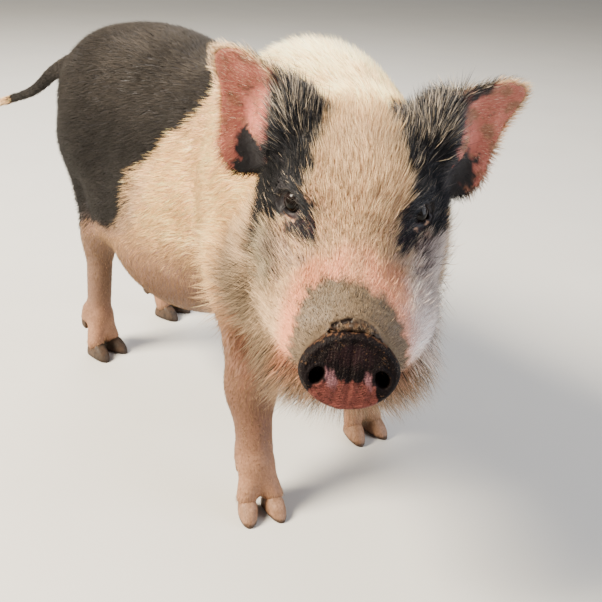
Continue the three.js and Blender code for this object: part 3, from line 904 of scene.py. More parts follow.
def refine(obj, wanted):
    """Divides the faces whose middles are wanted, and settles the new vertices onto the skin."""
    mesh = obj.data
    middles = np.empty(len(mesh.polygons) * 3)
    mesh.polygons.foreach_get("center", middles)
    marked = wanted(middles.reshape(-1, 3) / MM - SHIFT)
    build = bmesh.new()
    build.from_mesh(mesh)
    build.faces.ensure_lookup_table()
    edges = {edge for i in np.flatnonzero(marked) for edge in build.faces[i].edges}
    bmesh.ops.subdivide_edges(build, edges=list(edges), cuts=1, use_grid_fill=True)
    build.to_mesh(mesh)
    build.free()
    settled = settle(points_of(obj), skin_distance, 2, 2.0)
    mesh.vertices.foreach_set("co", ((settled + SHIFT) * MM).ravel())
    mesh.update()


CELL, LOW_CORNER, HIGH_CORNER = 5.2, (-225, -420, 8), (125, 430, 450)
skin_points, skin_quads = wrap(thickened, LOW_CORNER, HIGH_CORNER, CELL)
skin_points = settle(skin_points, skin_distance, 4)
skin = make_piece("skin", skin_points, skin_quads)
print("skin after the first wrap:", len(skin_points), "points")


# %% The skin
def fine_zone(points):
    """The face, the ears' blades, the feet and the tail."""
    in_head = local(head, points)
    face = (in_head[:, 1] < 60) & (in_head[:, 2] > -125) & (np.linalg.norm(in_head, axis=1) < 170)
    return face | (share_of_ear(points) > 0.3) | (points[:, 2] < 62) | (share_of_tail(points) > 0.5)


def off_eyes(points):
    """The distance to the nearer eye."""
    return np.min([np.linalg.norm(points - place, axis=1) for place in eye_places.values()], 0)


def finest_zone(points):
    """The end of the muzzle, and 25 mm round each eye."""
    in_disc = local(disc_frame, points)
    muzzle = (np.hypot(in_disc[:, 0], in_disc[:, 2]) < 50) & (in_disc[:, 1] < 16) & (in_disc[:, 2] > -10)
    return muzzle | (off_eyes(points) < 25)


def eye_zone(points):
    """Within reach of either eye's lids."""
    return off_eyes(points) < 19


for zone in (fine_zone, finest_zone, eye_zone):
    refine(skin, zone)
triangles = sum(len(face.vertices) - 2 for face in skin.data.polygons)
skin.data.polygons.foreach_set("use_smooth", np.ones(len(skin.data.polygons), bool))
print("skin:", len(skin.data.vertices), "points,", triangles, "triangles")
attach(skin, "root")
FLESH = ["head", "neck", "trunk", "tail", "lower_jaw", "ear_right", "ear_left"]
FLESH += [f"leg_{place}_{side}" for place in ("front", "hind") for side in ("right", "left")]
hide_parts(*FLESH)

# %% [markdown]
# ## Markings
# The pig is piebald: a dark saddle over its hindquarters, and a black patch round each eye that runs up over
# the root of the ear. Markings could be painted by hand, but then each hair would have to be painted too.
# Here each patch is a named form, melted like the flesh, and its share fades over a few millimetres, so skin
# and coat read the same functions.

# %% Markings
SADDLE_HEIGHTS = [160, 185, 205, 230, 255, 283, 311, 335, 374, 410, 440]
SADDLE_FRONTS = [50, 8, -62, -92, -102, -112, -142, -178, -194, -199, -202]


def patch_forms(side, wide):
    """The black patch of one side of the face, from the eye up to the ear's root."""
    return [
        limb(at(head, 52 * side, -6, 8), at(head, 54 * side, 54, 46), 19 + wide, 28 + wide, 6),
        ball(head, (46 * side, -17, 3), (17 + wide, 18, 17), 0, 6),
        limb(at(head, 62 * side, 2, 2), at(head, 66 * side, 48, 26), 13, 21, 6),
        limb(at(head, 60 * side, 4, -2), at(head, 73 * side, 34, -4), 14, 17, 6),
    ]


patches = patch_forms(-1, 0) + patch_forms(1, 4)
streak = [((-67, 12, -6), 17), ((-74, 14, -24), 13.5), ((-77, 8, -40), 9), ((-77, 2, -52), 5)]
patches += chain([(at(head, *spot), size) for spot, size in streak], 4)
patches += chain([(at(head, 60, 6, 0), 13), (at(head, 66, 4, -14), 8)], 4)
patches += [ball(head, (37 * side, -26, -6), (11, 11, 9), 0, 6) for side in (-1, 1)]
mottles = [
    ball(head, (-56, -28, -26), (20, 22, 18), 0, 8),
    ball(head, (52, -24, -18), (18, 18, 10), 0, 8),
    ball(head, (-38, -31, -3), (13, 14, 14), 0, 8),
    ball(head, (38, -30, 0), (12, 14, 14), 0, 8),
]
corners = [ball(head, (36 * side, -24, 0), (9, 9, 11), 0, 5) for side in (-1, 1)]
corners += [ball(head, (46 * side, -16, -13), (15, 13, 9), 0, 5) for side in (-1, 1)]
# Painted sky light: a pale violet tint on the pig's left cheek and muzzle, the side away from the key lamp.
skylit_side = [((62, -22, -32), 24), ((58, -52, -50), 23), ((50, -82, -44), 17)]
cool = chain([(at(head, *spot), size) for spot, size in skylit_side], 10)
bridge = [limb(at(head, 0, -62, -12), at(head, 0, -98, -36), 18, 42, 10)]
print("forms of the black patches:", len(patches))


# %% Shares of the markings
def saddle(points):
    """Black behind a line that steps back towards the belly and ends above the hock, and roan before it."""
    in_hips = local(hips, points)
    front = np.interp(points[:, 2], SADDLE_HEIGHTS, SADDLE_FRONTS) + 5 * wobble(points, 60, 3)
    front += 14 * ramp(in_hips[:, 0], 0, 60) * wobble(points, 90, 4)
    low_down = ramp(-points[:, 2], -310, -230)
    behind_front = in_hips[:, 1] - front + 2 * wobble(points, 12, 7)
    haunch = ramp(points[:, 2] + 8 * wobble(points, 30, 11), 146, 200)
    black = ramp(behind_front / (8 + 9 * low_down), -1, 1) * haunch
    roan = ramp(behind_front + 5 * wobble(points, 9, 14), -48, 0) * haunch * (0.35 + 0.65 * low_down)
    return black, roan


def face_patches(points):
    """Each patch of the face: a climb across the zero of its melted forms, with a ragged border."""
    near = np.linalg.norm(local(head, points), axis=1) < 175
    p = points[near]
    ragged = 3.5 * wobble(p, 14, 5) + 1.5 * wobble(p, 5, 6)
    shares = {word: np.zeros(len(points)) for word in ("black", "corner", "cool", "mottle", "pink")}
    shares["black"][near] = ramp(-melted(patches, p) + ragged, -3, 3)
    shares["corner"][near] = ramp(-melted(corners, p) + ragged, -3, 3)
    # Painted sky light: the share of the left side's pale violet tint.
    shares["cool"][near] = ramp(-melted(cool, p) + ragged, -18, 10)
    shares["mottle"][near] = ramp(-melted(mottles, p) + 2 * ragged, -9, 9)
    shares["pink"][near] = ramp(-melted(bridge, p), -12, 6)
    return shares


def round_snout(points, pink):
    """Olive inside a rounded square above the disc, and pink on a larger one and on the bridge."""
    in_disc = local(disc_frame, points)
    before = in_disc[:, 1] < 60
    height = in_disc[:, 2] - 2 + 0.27 * np.maximum(in_disc[:, 0] + 10, 0) * (in_disc[:, 2] > 0)
    square = np.abs(in_disc[:, 0] / 42) ** 2.6 + np.abs(height / 55) ** 2.6
    olive = ramp(-square - 0.10 * wobble(points, 9, 8), -1.15, -0.9) * ramp(in_disc[:, 2], -16, 0)
    larger = np.abs(in_disc[:, 0] / 51) ** 2.6 + np.abs((in_disc[:, 2] - 2) / 66) ** 2.6
    band = ramp(-larger, -1.3, -0.75) * ramp(in_disc[:, 2], -26, -8) * before
    pink = np.maximum(pink, 0.85 * band) * (1 - 0.6 * ramp(in_disc[:, 0], 36, 50))
    pink *= 1 - 0.4 * bell(local(head, points)[:, 0], 0, 8) * ramp(in_disc[:, 2], 30, 50)
    return olive * before, pink


def ear_patches(points, face):
    """Black at the root, lobe, top edge and back of each ear; the left ear's patches reach further."""
    blade = share_of_ear(points)
    for side in (-1, 1):
        q = on_ear(side, points)
        own = (blade > 0.02) & (local(head, points)[:, 0] * side > 0)
        left = side > 0
        uneven = 3.5 * wobble(points, 13, 15) + 1.5 * wobble(points, 5, 16)
        lobe = ramp(uneven - q[:, 2], 10 - 5 * left, 17 - 4 * left)
        lobe *= ramp(-uneven - q[:, 0], -37 - 5 * left, -31 - 4 * left)
        root = ramp(-q[:, 0], -10 - 5 * left, -2 - 3 * left)
        edge = 0.8 * left * ramp(q[:, 2] - 0.75 * q[:, 0], 20, 26) * ramp(-q[:, 0], -34, -12)
        behind = ramp(q[:, 1] - cup_height(q), 0, 1.5) * ramp(-q[:, 0], -44, -26)
        share = np.minimum(lobe + root + edge + behind, 1)
        share = ramp(share + 0.13 * wobble(points, 9, 9), 0.25, 0.75)
        face = np.where(own, np.maximum(face * (1 - blade), share * blade + face * (1 - blade)), face)
    return face


def markings(points):
    """All shares, 0 to 1: black, roan, mottle, pink, olive, ear, corner, painted sky light and painted shade
    with staining.
    """
    black, roan = saddle(points)
    marks = face_patches(points)
    olive, pink = round_snout(points, marks["pink"])
    black = np.maximum(black, ear_patches(points, marks["black"]))
    black = np.maximum(black, share_of_tail(points))
    black = black * ramp(-local(hips, points)[:, 1] + 4 * wobble(points, 9, 12), -228, -208)
    pale = 1 - black
    # Painted shade with reddish-brown staining, on the top of the right foreleg under the jowl.
    leg = local(frame_at(-112, -186, 192), points) / (27, 28, 62)
    stain = ramp(-np.linalg.norm(leg, axis=1) - 0.15 * wobble(points, 12, 13), -1.3, -0.6)
    marks |= {"black": black, "roan": roan * pale, "mottle": marks["mottle"] * pale}
    marks |= {"corner": marks["corner"] * (1 - 0.5 * black), "cool": marks["cool"] * pale}
    ear_share = ramp(share_of_ear(points), 0.02, 0.35)
    return marks | {"pink": pink, "olive": olive, "ear": ear_share, "stain": stain}


for word, share in markings(points_of(skin)).items():
    print("mean share of", word, "on the skin:", share.mean().round(3))

# %% [markdown]
# ## Colours of the skin
# Under pale hair a pig's skin is pink, redder on the bridge and the ears, and it is dark under black hair.
# The skin turns darker and browner down the legs, in part painted shade, and peach on the feet. A material
# could mix all this from masks, but a colour at each point is simpler and can be given to the hair too. Each
# colour is laid over the last by its share, as glazes are.

# %% Colours of the skin
def blend(a, b, share):
    """Colour a where share is 0 and colour b where it is 1, for arrays."""
    return a + (np.asarray(b) - a) * np.asarray(share)[:, None]


SKIN = {
    "pale": (0.60, 0.34, 0.21),
    "warm": (0.66, 0.24, 0.145),
    "ear": (0.35, 0.104, 0.084),
    "ear glow": (0.50, 0.165, 0.135),
    "ear stain": (0.20, 0.095, 0.060),
    "ear speck": (0.085, 0.036, 0.028),
    "ridge": (0.022, 0.014, 0.010),
    "crust": (0.055, 0.026, 0.011),
    # Painted shade in the crease above the snout disc.
    "crease": (0.012, 0.007, 0.006),
    "hind": (0.170, 0.100, 0.070),
    "sunny": (0.58, 0.195, 0.100),
    # Painted shade with reddish staining, under the jowl.
    "stain": (0.15, 0.060, 0.036),
    "foot": (0.33, 0.170, 0.10),
    "black": (0.020, 0.018, 0.021),
    "mottle": (0.12, 0.105, 0.11),
    "olive": (0.140, 0.100, 0.066),
    "leg": (0.14, 0.070, 0.044),
    "belly": (0.36, 0.205, 0.155),
    "corner": (0.075, 0.022, 0.026),
    # Painted sky light on the skin of the left cheek.
    "cool": (0.46, 0.35, 0.35),
    # Painted shade under the jaw and along the throat.
    "jaw": (0.12, 0.080, 0.056),
}


def shade_under_jaw(points):
    """1 on the underside of the jaw, fading up the cheeks and back along the throat: where shade is painted.
    """
    in_head = local(head, points)
    return ramp(-in_head[:, 2], 50, 90) * ramp(-in_head[:, 1], -90, -10) * ramp(points[:, 2], 195, 235)


def plain(colour, count):
    """One colour for each of many points."""
    return np.tile(np.array(colour), (count, 1))


def ear_colours(points):
    """Red skin with a glow, brown stains and dark specks, each where a wobble is high."""
    on_left = local(head, points)[:, 0] > 0
    colour = plain(SKIN["ear"], len(points))
    colour = blend(colour, SKIN["ear glow"], 0.75 * ramp(wobble(points, 26, 74), -0.5, 0.8))
    stain = ramp(wobble(points, 16, 71) + 0.5 * wobble(points, 6, 72), 0.2, 0.9)
    colour = blend(colour, SKIN["ear stain"], (0.55 + 0.3 * on_left) * stain)
    specks = ramp(wobble(points, 7, 75) + 0.9 * wobble(points, 21, 76), 1.5, 1.9)
    return blend(colour, SKIN["ear speck"], 0.8 * specks)


def skin_colours(points):
    """The skin's colour from its markings, redder on the bridge, ears and underside."""
    marks = markings(points)
    in_head, height = local(head, points), points[:, 2]
    colour = plain(SKIN["pale"], len(points))
    colour = blend(colour, SKIN["belly"], ramp(-height, -260, -180))
    # Darker and browner down the legs: partly painted shade.
    colour = blend(colour, SKIN["leg"], ramp(-height, -200, -130))
    hind = ramp(local(hips, points)[:, 1], -90, -40)
    colour = blend(colour, SKIN["hind"], hind * ramp(-height, -200, -140))
    colour = blend(colour, SKIN["foot"], 0.7 * ramp(-height, -85, -35))
    # Painted shade with reddish staining on the foreleg under the jowl.
    colour = blend(colour, SKIN["stain"], 0.85 * marks["stain"])
    # Painted shade under the jaw and along the throat.
    colour = blend(colour, SKIN["jaw"], 0.8 * shade_under_jaw(points))
    # Painted sky light on the left cheek and muzzle.
    colour = blend(colour, SKIN["cool"], 0.8 * marks["cool"])
    colour = blend(colour, SKIN["warm"], marks["pink"] * 0.8)
    colour = blend(colour, SKIN["sunny"], marks["pink"] * 0.8 * ramp(-in_head[:, 0], 8, 36))
    colour = blend(colour, SKIN["mottle"], 0.7 * marks["mottle"])
    colour = blend(colour, SKIN["olive"], marks["olive"])
    colour = blend(colour, ear_colours(points), marks["ear"])
    fold = ramp(-melted(ridge, points), -2.0, -0.8)
    crust = ramp(wobble(points, 4, 73), -0.1, 0.9)[:, None]
    colour = blend(colour, SKIN["ridge"] + crust * SKIN["crust"], 0.95 * fold)
    # Painted shade: the crease above the snout disc is coloured near black.
    colour = blend(colour, SKIN["crease"], ramp(-melted(crease, points), -0.9, 0.0))
    colour = blend(colour, SKIN["black"], marks["black"])
    return blend(colour, SKIN["corner"], 0.9 * marks["corner"])


skin_marks = skin_colours(points_of(skin))
paint(skin, "marks", skin_marks)
print("skin's mean colour:", skin_marks.mean(0).round(3))

# %% [markdown]
# ## Skin's finish
# Pig skin is matt and a little greasy, with fine wrinkles and pores. Real wrinkles in the mesh would need
# millions of points, so a bump does them: noise for the wrinkles, cells for the pores. Two more noises mottle
# the colour, one broad and one fine.

# %% Skin material
skin_paint = Shader("pig skin", roughness=0.52, Specular_IOR_Level=0.15)
marks = skin_paint.attribute("marks")
flush = skin_paint.spread(skin_paint.noise(28, 5), 0.3, 0.7)
fleck = skin_paint.spread(skin_paint.noise(420, 4), 0.35, 0.65)
tint = skin_paint.mix(flush, rgb(1.0, 0.93, 0.90), rgb(0.92, 1.0, 1.0))
tint = skin_paint.mix(fleck, tint, rgb(0.74, 0.70, 0.68))
skin_paint.colour(skin_paint.mix(1.0, marks, tint, "MULTIPLY"))
grease = skin_paint.spread(skin_paint.noise(160, 3), 0.3, 0.7, 0.42, 0.62)
skin_paint.link(grease, skin_paint.surface.inputs["Roughness"])
skin_paint.bump((skin_paint.noise(95, 6, 0.6), 0.0016, 0.5), (skin_paint.cells(900), 0.0003, 0.5))
skin_paint.on(skin)
print("nodes in the skin's material:", len(skin_paint.tree.nodes))

# %% [markdown]
# ## Snout disc
# A pig's nose ends in a leathery disc, stiffened by a rolled rim, with two nostrils. A cylinder with holes
# cut out would leave hard edges, so it is one polar grid: the angle goes round, and the share goes from the
# middle, over the rim and in behind it. Pits and bumps are added to its height.

# %% Snout disc
DISC = {"width": 35.5, "height": 29, "thickness": 14, "dome": 2.5, "flat": 0.86, "roll": 6.0}
NOSTRIL = {"across": 23, "drop": -3.0, "width": 5.3, "height": 6.6, "depth": 12}
BACK_SHARE = [0.985, 0.96, 0.9, 0.5, 0.02]
BACK_FALL = [9.0, 12.5, 16.0, 16.4, 16.5]


def disc_profile(rows):
    """Shares of the outline and falls from the front: flat, then a quarter turn, then in behind the rim."""
    quarter = np.linspace(0, 1, 18)[1:] * math.pi / 2
    flat, rest = DISC["flat"], 1 - DISC["flat"]
    share = [np.linspace(0.006, flat, rows), flat + rest * np.sin(quarter), BACK_SHARE]
    fall = [np.zeros(rows), (1 - np.cos(quarter)) * DISC["roll"], BACK_FALL]
    return np.concatenate(share)[:, None], np.concatenate(fall)[:, None]


def nostril(side, x, z, angle):
    """How deep a nostril's pit is, and how high its rolled edge, from the distance in a leaning oval."""
    u = (x - NOSTRIL["across"] * side + 0.25 * (z - NOSTRIL["drop"]) * side) / NOSTRIL["width"]
    v = (z - NOSTRIL["drop"] - 0.3 * u * side) / NOSTRIL["height"]
    away = np.sqrt(u * u + v * v)
    pit = NOSTRIL["depth"] * (1 - ramp(away, 0.62, 1.08))
    return pit, 0.8 * bell(away, 1.28, 0.22) * (1 + 0.4 * np.sin(angle))


def snout_disc(rows=120, columns=288):
    """Outline times share, with the rim rolled back on a quarter turn; height from dome, pits and ridges."""
    share, fall = disc_profile(rows)
    angle = np.linspace(0, 2 * math.pi, columns, endpoint=False)[None]
    squeeze = 1 - 0.035 * np.sin(angle) * np.abs(np.cos(angle)) ** 0.5 + 0.012 * np.cos(4 * angle)
    notch = 0.05 * bell(angle, math.pi / 2, 0.16)
    x = DISC["width"] * squeeze * np.cos(angle) * share
    z = DISC["height"] * (squeeze - notch * share**4) * np.sin(angle) * share
    front = share <= 1.0
    height = DISC["thickness"] / 2 + DISC["dome"] * (1 - share**2) - fall
    flat = np.column_stack([x.ravel(), 0 * x.ravel(), z.ravel()])
    face = (fall == 0) * ramp(1 - share, 0.10, 0.2)
    rim = 0.5 * bell(share, 0.90, 0.06) * front * (fall < 9)
    height = height + rim - 0.15 * bell(share, 0.78, 0.05) * (fall == 0)
    for side in (-1, 1):
        pit, roll = nostril(side, x, z, angle)
        height = height - face * pit
        height = height + face * roll
    groove = bell(x, 0, 2.0) * ramp(z, -30, -4)
    height = height - face * 0.7 * groove
    furrows = np.sin(flat[:, 0] * 2.6 + 1.5 * wobble(flat, 7, 24)) * ramp(flat[:, 2], -14, 0)
    leather = 0.16 * wobble(flat, 2.3, 21) + 0.12 * wobble(flat, 1.3, 22)
    leather = leather + 0.35 * wobble(flat, 11, 23) + 0.16 * furrows
    height = height + leather.reshape(x.shape) * front * (fall < 9)
    return np.stack([x, -height, z], -1)


disc_points = snout_disc()
rows, columns = disc_points.shape[:2]
poles = np.array([disc_points[0].mean(0), disc_points[-1].mean(0)])
all_points = np.concatenate([disc_points.reshape(-1, 3), poles])
placed_disc = place_in(disc_frame, all_points)
snout = make_piece("snout_disc", placed_disc, capped_faces(rows, columns, turned=True))
face_outwards(snout)
print("snout disc:", len(snout.data.polygons), "triangles")
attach(snout, "root")
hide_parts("snout")


# %% [markdown]
# ## Snout disc's finish
# The leather is black above and pink along its lower third, lilac beside the nostrils, and a rusty crust
# sticks to its top edge. The colours follow its own forms, so they are worked out for each point, and noise
# adds pores and damp spots.

# %% Snout disc's finish
DISC_COLOURS = {
    "leather": (0.0055, 0.0040, 0.0045),
    "sheen": (0.020, 0.009, 0.011),
    "pink": (0.118, 0.037, 0.031),
    "spot": (0.045, 0.016, 0.012),
    "lilac": (0.19, 0.092, 0.105),
    # Painted shade in the nostrils and over their rims.
    "pit": (0.006, 0.004, 0.004),
    "rust": (0.11, 0.055, 0.030),
    "crumb": (0.07, 0.04, 0.022),
}
PINK_ACROSS = [-30, -27, -24, -20, -14, -8, 0, 8, 14, 18, 22, 26]
PINK_EDGE = [-30, -14, -9, -6, -5, -5.5, -6, -5.5, -5, -8, -20, -32]


def disc_colours(p):
    """Black above, a pink lower third, lilac beside the nostrils and a rusty crust along the top edge."""
    x, z = p[:, 0], p[:, 2]
    share = np.hypot(x / DISC["width"], z / DISC["height"])
    ragged = 1.6 * wobble(p, 8, 31) + 0.9 * wobble(p, 3, 32)
    sheen = ramp(-np.hypot(x / 22, (z - 13) / 11) + 0.1 * ragged, -1.1, -0.3)
    colour = blend(plain(DISC_COLOURS["leather"], len(p)), DISC_COLOURS["sheen"], 0.5 * sheen)
    edge = np.interp(x, PINK_ACROSS, PINK_EDGE)
    low = ramp(edge - z + 0.8 * ragged, -1.5, 2.0) * ramp(30 - np.abs(x + 1) + ragged, 0, 4)
    colour = blend(colour, DISC_COLOURS["pink"], low)
    spots = ramp(0.7 * wobble(p, 5, 33) + 0.8 * wobble(p, 1.6, 34), 0.4, 1.0)
    colour = blend(colour, DISC_COLOURS["spot"], 0.8 * low * spots)
    for side in (-1, 1):
        strip = np.hypot((x - 13.5 * side + 0.25 * (z + 5)) / (4.8 - 0.8 * side), (z + 4.5) / 8.5)
        colour = blend(colour, DISC_COLOURS["lilac"], 0.85 * ramp(1.1 - strip + 0.12 * ragged, 0, 0.9))
        # Painted shade: each nostril and its rolled rim are coloured near black.
        drop = z - NOSTRIL["drop"]
        u = (x - NOSTRIL["across"] * side + 0.25 * drop * side) / NOSTRIL["width"]
        pit = np.hypot(u, drop / NOSTRIL["height"])
        colour = blend(colour, DISC_COLOURS["pit"], ramp(1.25 - pit, 0, 0.25))
    crust = ramp(share + 0.02 * ragged, 0.955, 0.985) * ramp(z, 8, 18)
    colour = blend(colour, DISC_COLOURS["rust"], crust * (0.45 + 0.4 * np.sin(3 * ragged)))
    crumbs = ramp(wobble(p, 2.2, 35) + 0.6 * wobble(p, 7, 36), 1.6, 1.85)
    return blend(colour, DISC_COLOURS["crumb"], 0.8 * crumbs)


paint(snout, "marks", disc_colours(all_points))
snout_paint = Shader("snout leather", roughness=0.5, Specular_IOR_Level=0.035)
pore = snout_paint.spread(snout_paint.cells(900), 0.0, 0.45)
speck = snout_paint.spread(snout_paint.noise(900, 4), 0.38, 0.62)
damp = snout_paint.spread(snout_paint.noise(120, 4), 0.35, 0.65, 0.38, 0.6)
tint = snout_paint.mix(pore, rgb(0.45, 0.40, 0.40), rgb(1.0, 1.0, 1.0))
tint = snout_paint.mix(snout_paint.maths("MULTIPLY", speck, 0.35), tint, rgb(1.5, 1.4, 1.35))
snout_paint.colour(snout_paint.mix(1.0, snout_paint.attribute("marks"), tint, "MULTIPLY"))
snout_paint.link(damp, snout_paint.surface.inputs["Roughness"])
snout_paint.bump((snout_paint.cells(900), 0.0005, 0.6), (snout_paint.noise(2200, 3), 0.0002, 0.5))
snout_paint.on(snout)
print("nodes in the snout's material:", len(snout_paint.tree.nodes))

# %% [markdown]
# ## Eyes
# Each eye is a ball with a bulging cornea. A sphere from the menu has no cornea, so two parameters, the angle
# from the line of sight and the turn round it, make a closed grid whose poles are the pupil's middle and the
# back. The material reads the angle, to tell pupil, iris and white apart.


# %% Eyes
EYE_ROWS, EYE_COLUMNS = 40, 48
CORNEA = {"height": 0.9, "degrees": 32, "reach": 0.56}


def eyeball(where):
    """Radius times a ball, with a cornea that rises as a cosine within 32 degrees of the line of sight."""
    off = np.linspace(0, math.pi, EYE_ROWS)[:, None]
    turn = np.linspace(0, 2 * math.pi, EYE_COLUMNS, endpoint=False)[None]
    rise = np.maximum(np.cos(off * 90 / CORNEA["degrees"]), 0) * (off < CORNEA["reach"])
    radius = (EYE["radius"] - CORNEA["height"]) + CORNEA["height"] * rise
    across, ahead = radius * np.sin(off), -radius * np.cos(off)
    p = np.stack([across * np.cos(turn), ahead + 0 * turn, across * np.sin(turn)], -1)
    return place_in(where, p.reshape(-1, 3)), np.repeat(off.ravel(), EYE_COLUMNS)


eye_paint = Shader("eye", roughness=0.05, Specular_IOR_Level=0.11)
off_axis = eye_paint.attribute("off_axis", "Fac")
streaks = eye_paint.noise(900, 4)
iris = eye_paint.mix(streaks, rgb(0.0022, 0.0016, 0.0014), rgb(0.006, 0.0038, 0.003))
ball_white = eye_paint.mix(eye_paint.noise(500, 3), rgb(0.008, 0.005, 0.005), rgb(0.016, 0.010, 0.010))
pupil = eye_paint.mix(eye_paint.spread(off_axis, 0.20, 0.24), rgb(0.001, 0.001, 0.0012), iris)
eye_paint.colour(eye_paint.mix(eye_paint.spread(off_axis, 0.60, 0.68), pupil, ball_white))
for side, word in ((-1, "right"), (1, "left")):
    placed, off = eyeball(eye_frames[side])
    eye = make_piece(f"eyeball_{word}", placed, grid_faces(EYE_ROWS, EYE_COLUMNS))
    paint(eye, "off_axis", off)
    face_outwards(eye, merge=1e-6)
    eye_paint.on(eye)
    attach(eye, "root")
    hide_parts(f"eye_{word}")
    print(eye.name, "has", len(eye.data.vertices), "points")

# %% [markdown]
# ## Claws
# Each toe ends in a horn shoe with a flat sole, and a dewclaw hangs behind it. A subdivided box would round
# its sole off, so a shoe is a profile carried along the toe: the two parameters are the way from heel to tip
# and the turn round the arch.

# %% Claws
CLAW = {
    "at": [18, 14, 8, -4, -14, -19, -21],
    "width": [6, 15, 18, 19, 15, 9, 3],
    "low": [0, 0, 0, 0, 0, 0, 0],
    "top": [7, 15, 19, 21, 13, 7, 3],
}
DEW = {
    "at": [8, 6, 0, -4, -6],
    "width": [4, 8.5, 10, 8.5, 3],
    "low": [-7, -8.5, -7, -4.5, -2],
    "top": [0, 2, 5, 4.5, 2],
}


def claw(sizes, where, rows=40, columns=40, seed=0):
    """Half width and arch height are smooth functions of the way along; growth lines ripple the arch."""
    way = 0.5 - 0.5 * np.cos(np.linspace(0, math.pi, rows))
    y = sizes["at"][0] + way * (sizes["at"][-1] - sizes["at"][0])
    knots = -np.array(sizes["at"], float)
    lines = [np.interp(-y, knots, sizes[word]) for word in ("width", "top", "low")]
    width, top, low = [np.convolve(np.pad(v, 2, mode="edge"), np.ones(5) / 5, "valid") for v in lines]
    turn = np.linspace(0, 2 * math.pi, columns, endpoint=False)[None]
    c, s = np.cos(turn), np.sin(turn)
    middle = low + 0.3 * (top - low)
    ripple = 1 + 0.012 * np.sin(y * 2.3 + seed)[:, None] + 0.010 * np.sin(y * 5.1 + 2 * seed)[:, None]
    x = width[:, None] / 2 * np.sign(c) * np.abs(c) ** 0.75 * ripple
    up = np.abs(s) ** 0.85 * (top - middle)[:, None] * ripple
    down = np.abs(s) ** 0.45 * (middle - low)[:, None]
    z = middle[:, None] + np.where(s > 0, up, -down)
    grid = np.stack([x, y[:, None] + 0 * x, z], -1)
    points = np.concatenate([grid.reshape(-1, 3), grid[0].mean(0)[None], grid[-1].mean(0)[None]])
    placed = place_in(where, points)
    return placed, capped_faces(rows, columns), np.concatenate([np.repeat(way, columns), [0, 1]])


def horn(name, dark, pale, dirt):
    """Claw horn: lengthwise streaks, clouds, dirt towards the heel, and darker towards the sole."""
    paint_of = Shader(name, roughness=0.55, Specular_IOR_Level=0.2)
    streak = paint_of.spread(paint_of.noise(700, 5, 0.4, stretch=(1.0, 1.0, 0.25)), 0.35, 0.65)
    cloud = paint_of.spread(paint_of.noise(130, 4), 0.35, 0.65)
    colour = paint_of.mix(streak, dark, pale)
    colour = paint_of.mix(paint_of.maths("MULTIPLY", cloud, 0.5), colour, dirt)
    heel = paint_of.spread(paint_of.attribute("way", "Fac"), 0.55, 0.1)
    colour = paint_of.mix(paint_of.maths("MULTIPLY", heel, paint_of.noise(300, 4)), colour, dirt)
    low = paint_of.attribute("low", "Fac")
    # Darker towards the sole.
    darker_to_sole = paint_of.maths("ADD", low, paint_of.spread(paint_of.noise(240, 4), 0, 1, -0.5, 0.5))
    colour = paint_of.mix(paint_of.spread(darker_to_sole, 0.35, 0.75, 0.0, 0.85), colour, rgb(0.030, 0.019, 0.013))
    paint_of.colour(colour)
    bands = paint_of.noise(500, 5, 0.3, stretch=(0.4, 0.4, 2.5))
    paint_of.bump((bands, 0.0006, 0.6), (paint_of.noise(2200, 2), 0.0002, 0.4))
    return paint_of


horns = {
    "fore": horn("pale horn", rgb(0.17, 0.092, 0.054), rgb(0.29, 0.16, 0.098), rgb(0.12, 0.056, 0.026)),
    "hind": horn("dark horn", rgb(0.022, 0.016, 0.013), rgb(0.055, 0.040, 0.030), rgb(0.080, 0.043, 0.024)),
}
claw_count = 0
for kind in ("fore", "hind"):
    for side in ("right", "left"):
        foot = feet[f"{kind}_{side}"]
        fetlock = legs[f"{kind}_{side}"][-1][0]
        x, y = local(foot, fetlock[None] * (1, 1, 0))[0, :2]
        outer = 1 if side == "left" else -1
        for toe, place in (("outer", outer), ("inner", -outer)):
            spots = {
                "claw": (CLAW, foot @ frame_at(TOE["spread"] * place, -6, 0, -TOE["splay"] * place)),
                "dewclaw": (DEW, foot @ frame_at(x + 12 * place, y + 14, DEWCLAW["height"], 0, -1.1)),
            }
            for word, (sizes, where) in spots.items():
                placed, faces, way = claw(sizes, where, seed=claw_count)
                piece = make_piece(f"horn_{word}_{kind}_{side}_{toe}", placed, faces)
                paint(piece, "way", way)
                paint(piece, "low", ramp(-placed[:, 2], -9, 0))
                face_outwards(piece)
                horns[kind].on(piece)
                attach(piece, "root")
                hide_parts(f"{word}_{kind}_{side}_{toe}")
                claw_count += 1
print("claws:", claw_count)

# %% [markdown]
# ## Coat
# A mini pig's bristles are coarse, straight and nearly flat along its body. Hair systems would be the usual
# way, but they aren't part of a mesh. Here each tuft is a small closed spike: three points in the skin and
# one at the tip, and the longer ones have a bend. Their roots are sown over the skin's triangles by area.

# %% Sowing the roots
skin.data.calc_loop_triangles()
triangle = np.empty(len(skin.data.loop_triangles) * 3, np.int32)
skin.data.loop_triangles.foreach_get("vertices", triangle)
triangle = triangle.reshape(-1, 3)
vertex = points_of(skin)
vertex_normal = np.empty(len(vertex) * 3)
skin.data.vertices.foreach_get("normal", vertex_normal)
vertex_normal = vertex_normal.reshape(-1, 3)
corner_a, corner_b, corner_c = (vertex[triangle[:, i]] for i in range(3))
area = np.linalg.norm(np.cross(corner_b - corner_a, corner_c - corner_a), axis=1) / 2
triangle_middle = (corner_a + corner_b + corner_c) / 3
print("skin area in square metres:", round(area.sum() * 1e-6, 3))


